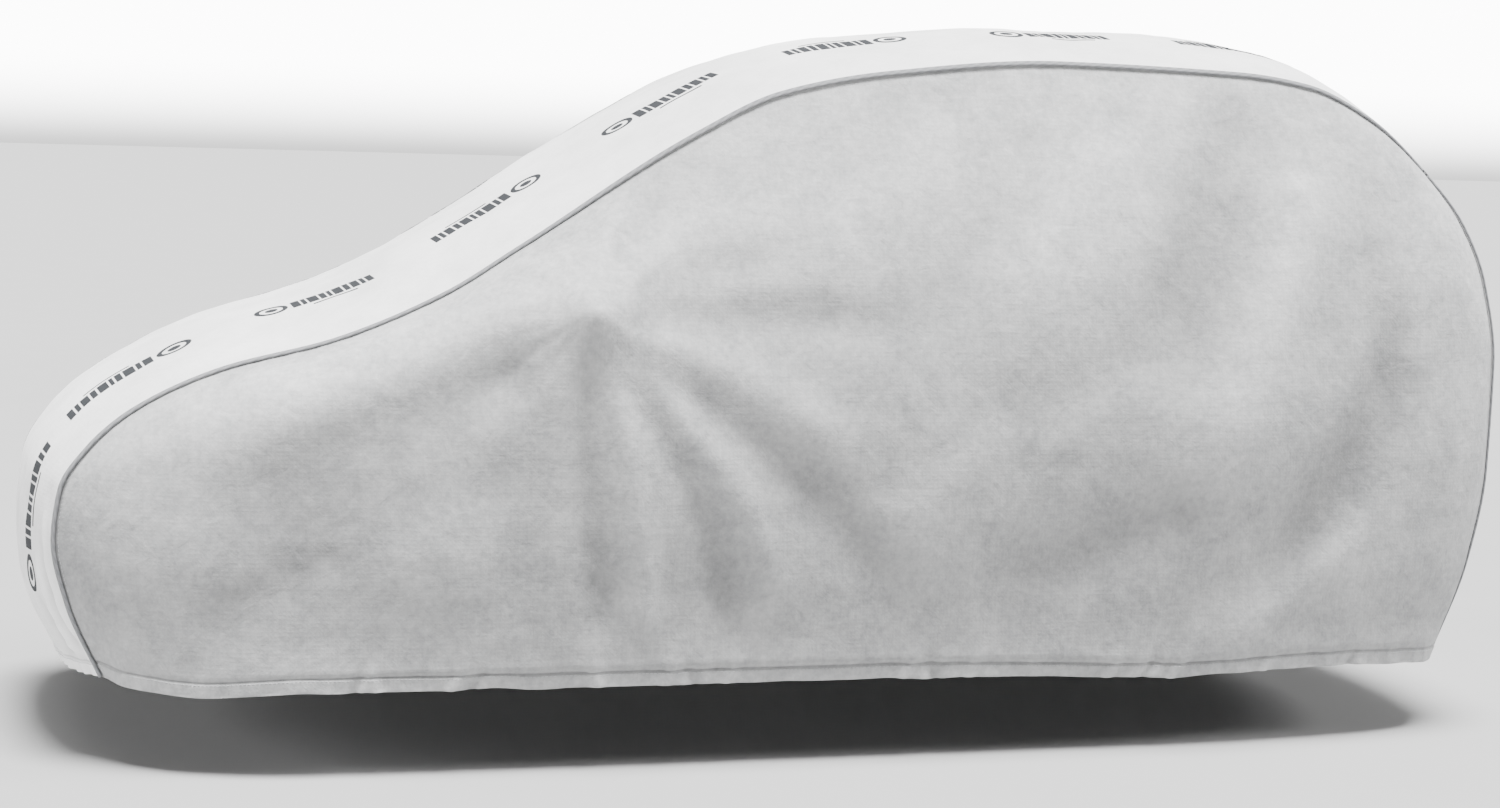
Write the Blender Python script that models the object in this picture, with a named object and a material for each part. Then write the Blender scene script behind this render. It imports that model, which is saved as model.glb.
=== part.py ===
"""Fitted car cover: a centre panel, two side panels and a binding strip along each seam.

Working axes, in metres: x from the nose to the tail, y to the right-hand side, z up from
the ground the car would stand on.  The finished row is moved so that its origin is the point
under the roof where the cover rests on the car.
"""
import bpy
import bmesh
import numpy as np
from mathutils import Vector

MM = 0.001

# ---------------------------------------------------------------- cloth
CLOTH = 2.0 * MM            # sheet thickness
HEM_CLOTH = 4.2 * MM        # sheet thickness where the hem is turned under
HEM_BAND = 30.0 * MM        # depth of the turned hem
HEM_STEP = 5.0 * MM         # run-in of the turned edge above the band
SEAM_HALF_GAP = 0.2 * MM    # each panel's edge stands this far off the seam line

# ---------------------------------------------------------------- binding strip
BINDING_HALF_WIDTH = 4.6 * MM
BINDING_HALF_HEIGHT = 2.4 * MM
BINDING_LIFT = 0.5 * MM     # clear space between the strip and the cloth under it
BINDING_SIDES = 6

# ---------------------------------------------------------------- grids
COLUMNS = 42                # cells of a side panel along the car
ROW_SHARES = (0.0, 0.05, 0.12, 0.20, 0.29, 0.39, 0.49, 0.59, 0.70, 0.81, 0.91, 1.0)
ACROSS = (-1.0, -0.82, -0.58, -0.30, 0.0, 0.30, 0.58, 0.82, 1.0)
CROWN_POWER = 2.3           # how flat the centre panel is in its middle
ROOF_REST_X = 2.40          # the station of the roof the cover rests on

# ---------------------------------------------------------------- seam, left side
# name, x, half width, z, crown: how far the centre of the panel stands proud of the seams
SEAM_COLUMNS = ("x", "half", "z", "crown")
SEAM_FRONT = (
    ("front hem",      0.150, 0.505, 0.186, 0.070),
    ("bumper low",     0.079, 0.495, 0.345, 0.077),
    ("bumper mid",     0.050, 0.490, 0.480, 0.058),
    ("bumper top",     0.064, 0.492, 0.590, 0.060),
    ("nose",           0.118, 0.500, 0.676, 0.062),
    ("bonnet corner",  0.206, 0.505, 0.755, 0.064),
)
SEAM_TOP = (
    ("bonnet corner",  0.206, 0.505, 0.755, 0.064),
    ("bonnet front",   0.392, 0.525, 0.848, 0.074),
    ("bonnet middle",  0.640, 0.540, 0.916, 0.086),
    ("bonnet rear",    0.880, 0.545, 1.020, 0.087),
    ("screen low",     1.043, 0.540, 1.122, 0.086),
    ("screen high",    1.449, 0.540, 1.386, 0.082),
    ("roof front",     1.640, 0.540, 1.480, 0.087),
    ("roof fore",      1.900, 0.540, 1.534, 0.097),
    ("roof middle",    2.314, 0.540, 1.570, 0.101),
    ("roof aft",       2.780, 0.540, 1.560, 0.108),
    ("roof rear",      2.950, 0.545, 1.538, 0.108),
    ("tail top",       3.115, 0.558, 1.464, 0.106),
    ("tail corner",    3.255, 0.580, 1.340, 0.096),
)
SEAM_REAR = (
    ("tail corner",    3.255, 0.580, 1.340, 0.096),
    ("tail glass",     3.358, 0.596, 1.215, 0.086),
    ("tail high",      3.420, 0.600, 1.080, 0.078),
    ("tail middle",    3.455, 0.602, 0.880, 0.072),
    ("tail bumper",    3.450, 0.600, 0.620, 0.076),
    ("tail low",       3.412, 0.596, 0.400, 0.080),
    ("rear hem",       3.326, 0.588, 0.170, 0.076),
)

# ---------------------------------------------------------------- hem, left side
# name, x, half width, z
HEM_COLUMNS = ("x", "half", "z")
HEM = (
    ("front corner",   0.150, 0.505, 0.186),
    ("front turn",     0.198, 0.590, 0.180),
    ("wing",           0.330, 0.690, 0.169),
    ("front wheel",    0.540, 0.755, 0.183),
    ("sill front",     1.050, 0.782, 0.186),
    ("sill middle",    1.880, 0.785, 0.186),
    ("sill rear",      2.550, 0.780, 0.170),
    ("rear wheel",     2.900, 0.762, 0.178),
    ("rear quarter",   3.180, 0.716, 0.170),
    ("rear turn",      3.296, 0.648, 0.164),
    ("rear corner",    3.326, 0.588, 0.170),
)
# where each hem point falls along the side panel, as a share of its columns
HEM_SHARES = (0.0, 0.025, 0.075, 0.16, 0.33, 0.53, 0.71, 0.82, 0.92, 0.975, 1.0)

# ---------------------------------------------------------------- fullness of the sides
# share of the columns, then how far the cloth stands out past a straight fall from seam to hem
# at the shoulder, the waist, the middle and the sill
FULLNESS_ROWS = (0.0, 0.10, 0.28, 0.55, 0.84, 1.0)
FULLNESS = (
    # along,  shoulder, waist,  middle, sill
    (0.000,   0.000,    0.000,  0.000,  0.000),
    (0.045,   0.026,    0.044,  0.040,  0.014),
    (0.120,   0.052,    0.086,  0.086,  0.034),
    (0.240,   0.060,    0.112,  0.112,  0.046),
    (0.380,   0.034,    0.100,  0.132,  0.060),
    (0.560,   0.036,    0.104,  0.142,  0.064),
    (0.720,   0.038,    0.106,  0.142,  0.062),
    (0.860,   0.040,    0.094,  0.112,  0.048),
    (0.950,   0.030,    0.056,  0.060,  0.024),
    (1.000,   0.000,    0.000,  0.000,  0.000),
)

# ---------------------------------------------------------------- the spot over the door mirror
MIRROR_X, MIRROR_Z = 1.150, 1.003
MIRROR_REACH = 0.125        # how far it pushes the cloth out
MIRROR_SPREAD = 0.150       # how wide the tent round it is

# ---------------------------------------------------------------- main folds of the sides
# name, start x, start z, end x, end z, half width, height (a trough is negative)
FOLDS = (
    ("mirror down ridge",     1.150, 0.960, 1.200, 0.330, 0.060, 0.012),
    ("mirror fore trough",    1.080, 0.960, 0.420, 0.560, 0.085, -0.016),
    ("mirror fore ridge",     1.080, 1.010, 0.480, 0.740, 0.060, 0.012),
    ("mirror up ridge",       1.110, 1.050, 0.860, 0.985, 0.045, 0.010),
    ("mirror aft ridge",      1.230, 0.930, 2.000, 0.300, 0.075, 0.014),
    ("mirror aft trough",     1.260, 1.000, 2.050, 0.880, 0.085, -0.012),
    ("door trough",           1.500, 0.820, 1.700, 0.260, 0.085, -0.010),
    ("quarter ridge",         2.980, 1.180, 2.640, 0.480, 0.085, 0.016),
    ("quarter trough",        2.860, 1.220, 2.440, 0.420, 0.080, -0.014),
    ("tail ridge",            3.240, 0.900, 2.760, 0.340, 0.070, 0.012),
    ("tail trough",           3.180, 0.620, 2.880, 0.250, 0.060, -0.010),
    ("rear sill trough",      2.560, 0.520, 2.480, 0.210, 0.060, -0.012),
    ("front wheel trough",    0.520, 0.480, 0.620, 0.210, 0.060, -0.010),
)

# ---------------------------------------------------------------- colours, sRGB
COLOURS = {
    "centre_panel": (0.91, 0.91, 0.91),
    "side_panel": (0.78, 0.79, 0.80),
    "piping": (0.62, 0.63, 0.65),
}


def column(rows, names, name):
    """One named column of a table whose rows start with their own name."""
    return np.array([row[1 + names.index(name)] for row in rows])


def ease(knots, values, at):
    """Shape-keeping cubic through the knots, with no overshoot between them."""
    knots, values, at = (np.asarray(a, float) for a in (knots, values, at))
    step = np.diff(knots)
    slope = np.diff(values) / step
    tangent = np.zeros_like(values)
    tangent[0], tangent[-1] = slope[0], slope[-1]
    for i in range(1, len(knots) - 1):
        if slope[i - 1] * slope[i] > 0.0:
            w1, w2 = 2 * step[i] + step[i - 1], step[i] + 2 * step[i - 1]
            tangent[i] = (w1 + w2) / (w1 / slope[i - 1] + w2 / slope[i])
    i = np.clip(np.searchsorted(knots, at, side="right") - 1, 0, len(step) - 1)
    h = step[i]
    t = np.clip((at - knots[i]) / h, 0.0, 1.0)
    return ((1 + 2 * t) * (1 - t) ** 2 * values[i] + t * (1 - t) ** 2 * h * tangent[i]
            + t * t * (3 - 2 * t) * values[i + 1] - t * t * (1 - t) * h * tangent[i + 1])


def unit(v):
    """Rows of v scaled to length one."""
    return v / np.maximum(np.linalg.norm(v, axis=-1, keepdims=True), 1e-12)


class Seam:
    """The left seam from the front hem over the top to the rear hem."""

    def __init__(self):
        rows = SEAM_FRONT + SEAM_TOP[1:] + SEAM_REAR[1:]
        self.table = {n: column(rows, SEAM_COLUMNS, n) for n in SEAM_COLUMNS}
        points = np.stack([self.table["x"], self.table["half"], self.table["z"]], 1)
        chord = np.linalg.norm(np.diff(points, axis=0), axis=1)
        self.knots = np.concatenate([[0.0], np.cumsum(chord)])
        self.front_end = self.knots[len(SEAM_FRONT) - 1]
        self.top_end = self.knots[len(SEAM_FRONT) + len(SEAM_TOP) - 2]
        self.end = self.knots[-1]

    def value(self, name, run):
        """A named column at the given runs along the seam."""
        return ease(self.knots, self.table[name], run)

    def points(self, run):
        """Left seam points."""
        return np.stack([self.value("x", run), -self.value("half", run),
                         self.value("z", run)], -1)


def row_shares(length):
    """Shares of a fall of the given length, with the turned hem at its foot."""
    plain = 1.0 - (HEM_BAND + HEM_STEP) / length
    return np.array([plain * r for r in ROW_SHARES] + [1.0 - HEM_BAND / length, 1.0])


ROWS = len(ROW_SHARES) + 2


def fullness(s, u):
    """How far the side stands out past a straight fall, at column share s and row share u."""
    table = np.array(FULLNESS)
    levels = [ease(table[:, 0], table[:, k], s) for k in range(1, 5)]
    zero = np.zeros_like(levels[0])
    levels = np.stack([zero] + levels + [zero], -1)
    out = np.zeros(np.broadcast(s, u).shape)
    for index in np.ndindex(out.shape):
        out[index] = ease(FULLNESS_ROWS, levels[index], u[index])
    return out


def fold_height(x, z):
    """Sum of the main folds and the mirror tent, seen square to the side."""
    reach = np.hypot(x - MIRROR_X, z - MIRROR_Z) / MIRROR_SPREAD
    out = MIRROR_REACH * np.exp(-1.25 * (np.sqrt(reach ** 2 + 0.06) - 0.245))
    for _, x0, z0, x1, z1, half, height in FOLDS:
        along = np.array([x1 - x0, z1 - z0])
        length = np.hypot(*along)
        along = along / length
        t = ((x - x0) * along[0] + (z - z0) * along[1]) / length
        off = (x - x0) * -along[1] + (z - z0) * along[0]
        taper = np.clip(4.0 * t * (1.0 - t), 0.0, 1.0) ** 0.6
        spread = half * (0.7 + 0.5 * np.clip(t, 0.0, 1.0))
        out = out + height * taper * np.exp(-(off / spread) ** 2)
    return out


def side_grid(seam):
    """Outer points of the left side panel, rows from the top edge to the hem."""
    s = np.linspace(0.0, 1.0, COLUMNS + 1)
    top = seam.points(seam.front_end + s * (seam.top_end - seam.front_end))
    foot = np.stack([ease(HEM_SHARES, column(HEM, HEM_COLUMNS, n), s) for n in HEM_COLUMNS], -1)
    foot[:, 1] *= -1.0
    fall = np.linalg.norm(top - foot, axis=1)
    fall[0], fall[-1] = seam.front_end, seam.end - seam.top_end
    u = np.stack([row_shares(f) for f in fall], 1)
    front = seam.points(seam.front_end * (1.0 - u[:, 0]))
    rear = seam.points(seam.top_end + u[:, -1] * (seam.end - seam.top_end))
    grid = np.zeros((ROWS, COLUMNS + 1, 3))
    for r in range(ROWS):
        for c in range(COLUMNS + 1):
            a, b = u[r, c], s[c]
            left = seam.points(seam.front_end * (1.0 - a))
            right = seam.points(seam.top_end + a * (seam.end - seam.top_end))
            corner = ((1 - a) * ((1 - b) * top[0] + b * top[-1])
                      + a * ((1 - b) * foot[0] + b * foot[-1]))
            grid[r, c] = ((1 - a) * top[c] + a * foot[c] + (1 - b) * left + b * right
                          - corner)
    inside = np.clip(u * (1 - u) * 12.0, 0, 1) * np.clip(s * (1 - s) * 18.0, 0, 1)[None, :]
    out = fullness(np.broadcast_to(s, u.shape), u)
    out = out + fold_height(grid[..., 0], grid[..., 2]) * inside
    grid[..., 1] -= out
    grid[0], grid[-1] = top, foot
    grid[:, 0], grid[:, -1] = front, rear
    return grid


def seam_runs(grid_rows_front, grid_rows_rear, seam):
    """Runs of every seam station, front hem to rear hem, shared by all the pieces."""
    front = seam.front_end * (1.0 - grid_rows_front[::-1])
    top = seam.front_end + np.linspace(0, 1, COLUMNS + 1) * (seam.top_end - seam.front_end)
    rear = seam.top_end + grid_rows_rear * (seam.end - seam.top_end)
    return np.concatenate([front[:-1], top, rear[1:]])


def centre_grid(seam, runs):
    """Outer points of the centre panel: a row per seam station, columns left to right."""
    edge = seam.points(runs)
    crown = seam.value("crown", runs)
    path = edge[:, [0, 2]]
    along = np.gradient(path, axis=0)
    along = unit(along)
    proud = np.stack([-along[:, 1], np.zeros(len(runs)), along[:, 0]], 1)
    v = np.array(ACROSS)
    lift = 1.0 - np.abs(v) ** CROWN_POWER
    grid = np.zeros((len(runs), len(v), 3))
    grid[..., 0] = edge[:, 0, None]
    grid[..., 1] = -edge[:, 1, None] * v[None, :]
    grid[..., 2] = edge[:, 2, None]
    return grid + proud[:, None, :] * (crown[:, None] * lift[None, :])[..., None]


def grid_normals(grid):
    """Unit normals at the points of a grid, left side up the columns."""
    return unit(np.cross(np.gradient(grid, axis=0), np.gradient(grid, axis=1)))


def seam_frames(edge, inner_a, inner_b):
    """Outward direction of the seam and the direction across it, toward the side panel."""
    along = unit(np.gradient(edge, axis=0))
    to_side = unit(inner_a - edge)
    to_centre = unit(inner_b - edge)
    normal_side = np.cross(along, to_side)
    normal_centre = np.cross(to_centre, along)
    out = unit(unit(normal_side) + unit(normal_centre))
    outward = np.array([1.9, 0.0, 0.75])
    out = np.where(np.sum(out * (edge - outward), 1, keepdims=True) < 0, -out, out)
    out = unit(out - along * np.sum(out * along, 1, keepdims=True))
    across = unit(np.cross(along, out))
    across = np.where(np.sum(across * to_side, 1, keepdims=True) < 0, -across, across)
    return out, across


def material(name, colour):
    """A plain cloth material of its own for one node."""
    made = bpy.data.materials.new(name)
    made.use_nodes = True
    shader = made.node_tree.nodes["Principled BSDF"]
    linear = [c / 12.92 if c <= 0.04045 else ((c + 0.055) / 1.055) ** 2.4 for c in colour]
    shader.inputs["Base Color"].default_value = (*linear, 1.0)
    shader.inputs["Roughness"].default_value = 0.9
    return made


def add_object(name, points, faces, colour):
    """One closed mesh with its faces turned outward."""
    mesh = bpy.data.meshes.new(name)
    mesh.from_pydata([tuple(p) for p in points], [], faces)
    made = bmesh.new()
    made.from_mesh(mesh)
    bmesh.ops.recalc_face_normals(made, faces=made.faces)
    if made.calc_volume(signed=True) < 0.0:
        bmesh.ops.reverse_faces(made, faces=made.faces)
    made.to_mesh(mesh)
    made.free()
    thing = bpy.data.objects.new(name, mesh)
    mesh.materials.append(material(name, colour))
    bpy.context.scene.collection.objects.link(thing)
    return thing


def sheet_faces(rows, cols):
    """Triangles of a closed sheet: an outer grid, an inner grid and a wall round the edge."""
    faces = []
    size = rows * cols
    for r in range(rows - 1):
        for c in range(cols - 1):
            a, b = r * cols + c, r * cols + c + 1
            d, e = a + cols, b + cols
            if c < (cols - 1) / 2:
                pair = ((a, e, b), (a, d, e))
            else:
                pair = ((a, d, b), (b, d, e))
            for tri in pair:
                faces.append(tri)
                faces.append(tuple(size + k for k in reversed(tri)))
    ring = ([(0, c) for c in range(cols)] + [(r, cols - 1) for r in range(1, rows)]
            + [(rows - 1, c) for c in range(cols - 2, -1, -1)]
            + [(r, 0) for r in range(rows - 2, 0, -1)])
    ring = [r * cols + c for r, c in ring]
    for a, b in zip(ring, ring[1:] + ring[:1]):
        faces.append((a, b, size + b))
        faces.append((a, size + b, size + a))
    return faces


def mirrored(points):
    """The same points on the other side of the car."""
    return points * np.array([1.0, -1.0, 1.0])


def build():
    """Build the five pieces of the cover."""
    for thing in list(bpy.data.objects):
        bpy.data.objects.remove(thing, do_unlink=True)
    seam = Seam()
    side = side_grid(seam)
    runs = seam_runs(row_shares(seam.front_end), row_shares(seam.end - seam.top_end), seam)
    centre = centre_grid(seam, runs)
    edge = seam.points(runs)

    # the side panel's next points in from the seam, in seam order
    ring = ([(r, 0) for r in range(ROWS - 1, 0, -1)] + [(0, c) for c in range(COLUMNS + 1)]
            + [(r, COLUMNS) for r in range(1, ROWS)])
    inward = []
    for r, c in ring:
        rr = 1 if r == 0 else r
        cc = min(max(c, 1), COLUMNS - 1)
        inward.append(side[rr, cc])
    out, across = seam_frames(edge, np.array(inward), centre[:, 1])

    # side panel: outer and inner grids
    thick = np.full((ROWS, 1), CLOTH)
    thick[-2:] = HEM_CLOTH
    normal = grid_normals(side)
    normal = np.where(normal[..., 1:2] > 0, -normal, normal)
    inner = side - normal * thick[..., None]
    for k, (r, c) in enumerate(ring):
        side[r, c] = edge[k] + across[k] * SEAM_HALF_GAP
        inner[r, c] = side[r, c] - out[k] * thick[r, 0]

    # centre panel: outer and inner grids
    normal = grid_normals(centre)
    flip = np.sum(normal * (centre - np.array([1.9, 0.0, 0.75])), -1, keepdims=True) < 0
    normal = np.where(flip, -normal, normal)
    thick = np.full((len(runs), 1), CLOTH)
    thick[:2], thick[-2:] = HEM_CLOTH, HEM_CLOTH
    under = centre - normal * thick[..., None]
    centre[:, 0] = edge - across * SEAM_HALF_GAP
    centre[:, -1] = mirrored(centre[:, 0])
    under[:, 0] = centre[:, 0] - out * thick
    under[:, -1] = mirrored(under[:, 0])

    # the row's origin is under the roof, on the centre line
    station = int(np.argmin(np.abs(edge[:, 0] - ROOF_REST_X) + (edge[:, 2] < 1.2)))
    origin = under[station, len(ACROSS) // 2].copy()

    # binding strip: a flat tube over the seam
    turns = 2 * np.pi * (np.arange(BINDING_SIDES) + 0.5) / BINDING_SIDES
    low = BINDING_HALF_HEIGHT * np.cos(np.pi / BINDING_SIDES)
    middle = edge + out * (low + BINDING_LIFT)
    tube = (middle[:, None, :]
            + across[:, None, :] * (BINDING_HALF_WIDTH * np.sin(turns))[None, :, None]
            + out[:, None, :] * (BINDING_HALF_HEIGHT * np.cos(turns))[None, :, None])
    tube_faces = []
    n = BINDING_SIDES
    for k in range(len(runs) - 1):
        for j in range(n):
            a, b = k * n + j, k * n + (j + 1) % n
            tube_faces += [(a, b, b + n), (a, b + n, a + n)]
    last = (len(runs) - 1) * n
    tube_faces += [tuple(range(n)), tuple(last + j for j in reversed(range(n)))]

    side_points = np.concatenate([side.reshape(-1, 3), inner.reshape(-1, 3)]) - origin
    side_faces = sheet_faces(ROWS, COLUMNS + 1)
    centre_points = np.concatenate([centre.reshape(-1, 3), under.reshape(-1, 3)]) - origin
    tube_points = tube.reshape(-1, 3) - origin
    add_object("centre_panel", centre_points, sheet_faces(len(runs), len(ACROSS)),
               COLOURS["centre_panel"])
    for name, turn in (("left", np.array), ("right", mirrored)):
        add_object("side_panel_" + name, turn(side_points), side_faces, COLOURS["side_panel"])
        add_object("piping_" + name, turn(tube_points), tube_faces, COLOURS["piping"])


build()
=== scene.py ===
"""Visual model of a fitted car cover: three sewn cloth panels, seam bindings, stitches and prints.

Working axes are the cover's own: x from the nose to the tail, y to the right-hand side and z up
from the ground, in metres.  Every piece is moved by `ROOF_REST` at the end, so it lies in the
frame's axes, whose origin is the underside of the roof.
"""

import logging
import math
from dataclasses import dataclass, field
from enum import Enum
from typing import Any, Iterable, Sequence

import bpy
import numpy as np
from mathutils import Matrix

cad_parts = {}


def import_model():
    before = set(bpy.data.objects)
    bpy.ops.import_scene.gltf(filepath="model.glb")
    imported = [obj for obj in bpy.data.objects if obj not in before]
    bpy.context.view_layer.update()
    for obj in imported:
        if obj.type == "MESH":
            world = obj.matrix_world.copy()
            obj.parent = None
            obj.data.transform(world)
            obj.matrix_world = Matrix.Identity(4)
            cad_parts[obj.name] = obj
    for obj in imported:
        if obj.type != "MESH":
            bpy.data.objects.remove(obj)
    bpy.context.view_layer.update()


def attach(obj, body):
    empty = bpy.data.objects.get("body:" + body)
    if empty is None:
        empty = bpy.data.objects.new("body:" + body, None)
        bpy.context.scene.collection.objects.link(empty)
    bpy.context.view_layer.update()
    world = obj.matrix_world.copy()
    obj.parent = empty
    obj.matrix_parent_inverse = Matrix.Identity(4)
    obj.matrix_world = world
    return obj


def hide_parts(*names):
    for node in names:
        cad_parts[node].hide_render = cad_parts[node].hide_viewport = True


LOG = logging.getLogger("car_cover")
MM = 0.001
ROOF_REST = np.array([2.37718, 0.0, 1.66970])   # the frame's origin in working axes
CLOTH_UV = "cloth"          # flat position on the cut cloth, in units of UV_METRES
# the doubled attribute also carries the painted shade of the hem's stitch groove
DOUBLED = "doubled"         # point attribute: 1 on the turned hem, below 0 in its stitch groove
# painted shade and highlight in the cloth's colour: paler on crests, darker in hollows and low
# down
PAINTED_SHADE = "lie"                 # point attribute: above 0 on crests, below 0 in hollows and low down
PAINTED_SHADE_LOW, PAINTED_SHADE_HIGH = -2.0, 1.0
UV_METRES = 10.0
UV_START = 0.05             # where every flat cloth begins across the map
UV_CENTRE = 0.5             # the strip's middle line, up the map
UV_SIDE = 0.6               # the sides' ground line, up the map
UV_INSIDE_SHIFT = -0.35     # moves the inner face's flat position clear of the outer one's
INSIDE = np.array([1.9, 0.0, 0.75])             # a point well inside the cover
MIRRORED = np.array([1.0, -1.0, 1.0])           # turns the left side into the right one
SHARP_EDGE = math.radians(50.0)


class Side(Enum):
    """Which side of the car a piece is sewn for."""

    LEFT = -1.0
    RIGHT = 1.0

    @property
    def word(self) -> str:
        """Lower-case word used in object names."""
        return self.name.lower()


# ------------------------------------------------------------------ sizes of the pattern


@dataclass(frozen=True)
class SeamPoint:
    """One station of the seam: its place, and how far the centre panel crowns above it."""

    name: str
    x: float
    half: float
    z: float
    crown: float


@dataclass(frozen=True)
class HemPoint:
    """One station of a side panel's hem and its share of the panel's columns."""

    name: str
    share: float
    x: float
    half: float
    z: float


@dataclass(frozen=True)
class Fullness:
    """How far the side stands out past a straight fall from seam to hem, at one column share."""

    share: float
    shoulder: float
    waist: float
    middle: float
    sill: float


@dataclass(frozen=True)
class Crease:
    """A soft ridge (height above 0) or trough (below 0) along a bent line in a flat plane.

    `left` and `right` are its half widths on either hand of someone walking from start to end.
    `crisp` is the power of its section: 2 is round, 1.2 is a tight crease.
    """

    name: str
    start: tuple[float, float]
    middle: tuple[float, float]
    end: tuple[float, float]
    left: float
    right: float
    height_mm: float
    crisp: float = 2.0
    fade_in: float = 0.18
    fade_out: float = 0.30


SEAM_FRONT = (
    SeamPoint("front hem", 0.150, 0.505, 0.186, 0.070),
    SeamPoint("bumper low", 0.079, 0.495, 0.345, 0.077),
    SeamPoint("bumper mid", 0.050, 0.490, 0.480, 0.058),
    SeamPoint("bumper top", 0.064, 0.492, 0.590, 0.060),
    SeamPoint("nose", 0.118, 0.500, 0.676, 0.062),
    SeamPoint("bonnet corner", 0.206, 0.505, 0.755, 0.064),
)
SEAM_TOP = (
    SeamPoint("bonnet front", 0.392, 0.525, 0.848, 0.074),
    SeamPoint("bonnet middle", 0.640, 0.540, 0.916, 0.086),
    SeamPoint("bonnet rear", 0.880, 0.545, 1.020, 0.087),
    SeamPoint("screen low", 1.043, 0.540, 1.122, 0.086),
    SeamPoint("screen high", 1.449, 0.540, 1.386, 0.082),
    SeamPoint("roof front", 1.640, 0.540, 1.480, 0.087),
    SeamPoint("roof fore", 1.900, 0.540, 1.534, 0.097),
    SeamPoint("roof middle", 2.314, 0.540, 1.570, 0.101),
    SeamPoint("roof aft", 2.780, 0.540, 1.560, 0.108),
    SeamPoint("roof rear", 2.950, 0.545, 1.538, 0.108),
    SeamPoint("tail top", 3.115, 0.558, 1.464, 0.106),
    SeamPoint("tail corner", 3.255, 0.580, 1.340, 0.096),
)
SEAM_REAR = (
    SeamPoint("tail glass", 3.358, 0.596, 1.215, 0.086),
    SeamPoint("tail high", 3.420, 0.600, 1.080, 0.078),
    SeamPoint("tail middle", 3.455, 0.602, 0.880, 0.072),
    SeamPoint("tail bumper", 3.450, 0.600, 0.620, 0.076),
    SeamPoint("tail low", 3.412, 0.596, 0.400, 0.080),
    SeamPoint("rear hem", 3.326, 0.588, 0.170, 0.076),
)
HEM = (
    HemPoint("front corner", 0.000, 0.150, 0.505, 0.186),
    HemPoint("front turn", 0.025, 0.198, 0.590, 0.180),
    HemPoint("wing", 0.075, 0.330, 0.690, 0.169),
    HemPoint("front wheel", 0.160, 0.540, 0.755, 0.183),
    HemPoint("sill front", 0.330, 1.050, 0.782, 0.186),
    HemPoint("sill middle", 0.530, 1.880, 0.785, 0.186),
    HemPoint("sill rear", 0.710, 2.550, 0.780, 0.170),
    HemPoint("rear wheel", 0.820, 2.900, 0.762, 0.178),
    HemPoint("rear quarter", 0.920, 3.180, 0.716, 0.170),
    HemPoint("rear turn", 0.975, 3.296, 0.648, 0.164),
    HemPoint("rear corner", 1.000, 3.326, 0.588, 0.170),
)
FULLNESS_LEVELS = (0.0, 0.10, 0.28, 0.55, 0.84, 1.0)
FULLNESS = (
    Fullness(0.000, 0.000, 0.000, 0.000, 0.000),
    Fullness(0.045, 0.026, 0.044, 0.040, 0.014),
    Fullness(0.120, 0.052, 0.086, 0.086, 0.034),
    Fullness(0.240, 0.060, 0.112, 0.112, 0.046),
    Fullness(0.380, 0.034, 0.100, 0.132, 0.060),
    Fullness(0.560, 0.036, 0.104, 0.142, 0.064),
    Fullness(0.720, 0.038, 0.106, 0.142, 0.062),
    Fullness(0.860, 0.040, 0.094, 0.112, 0.048),
    Fullness(0.950, 0.030, 0.056, 0.060, 0.024),
    Fullness(1.000, 0.000, 0.000, 0.000, 0.000),
)

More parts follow.
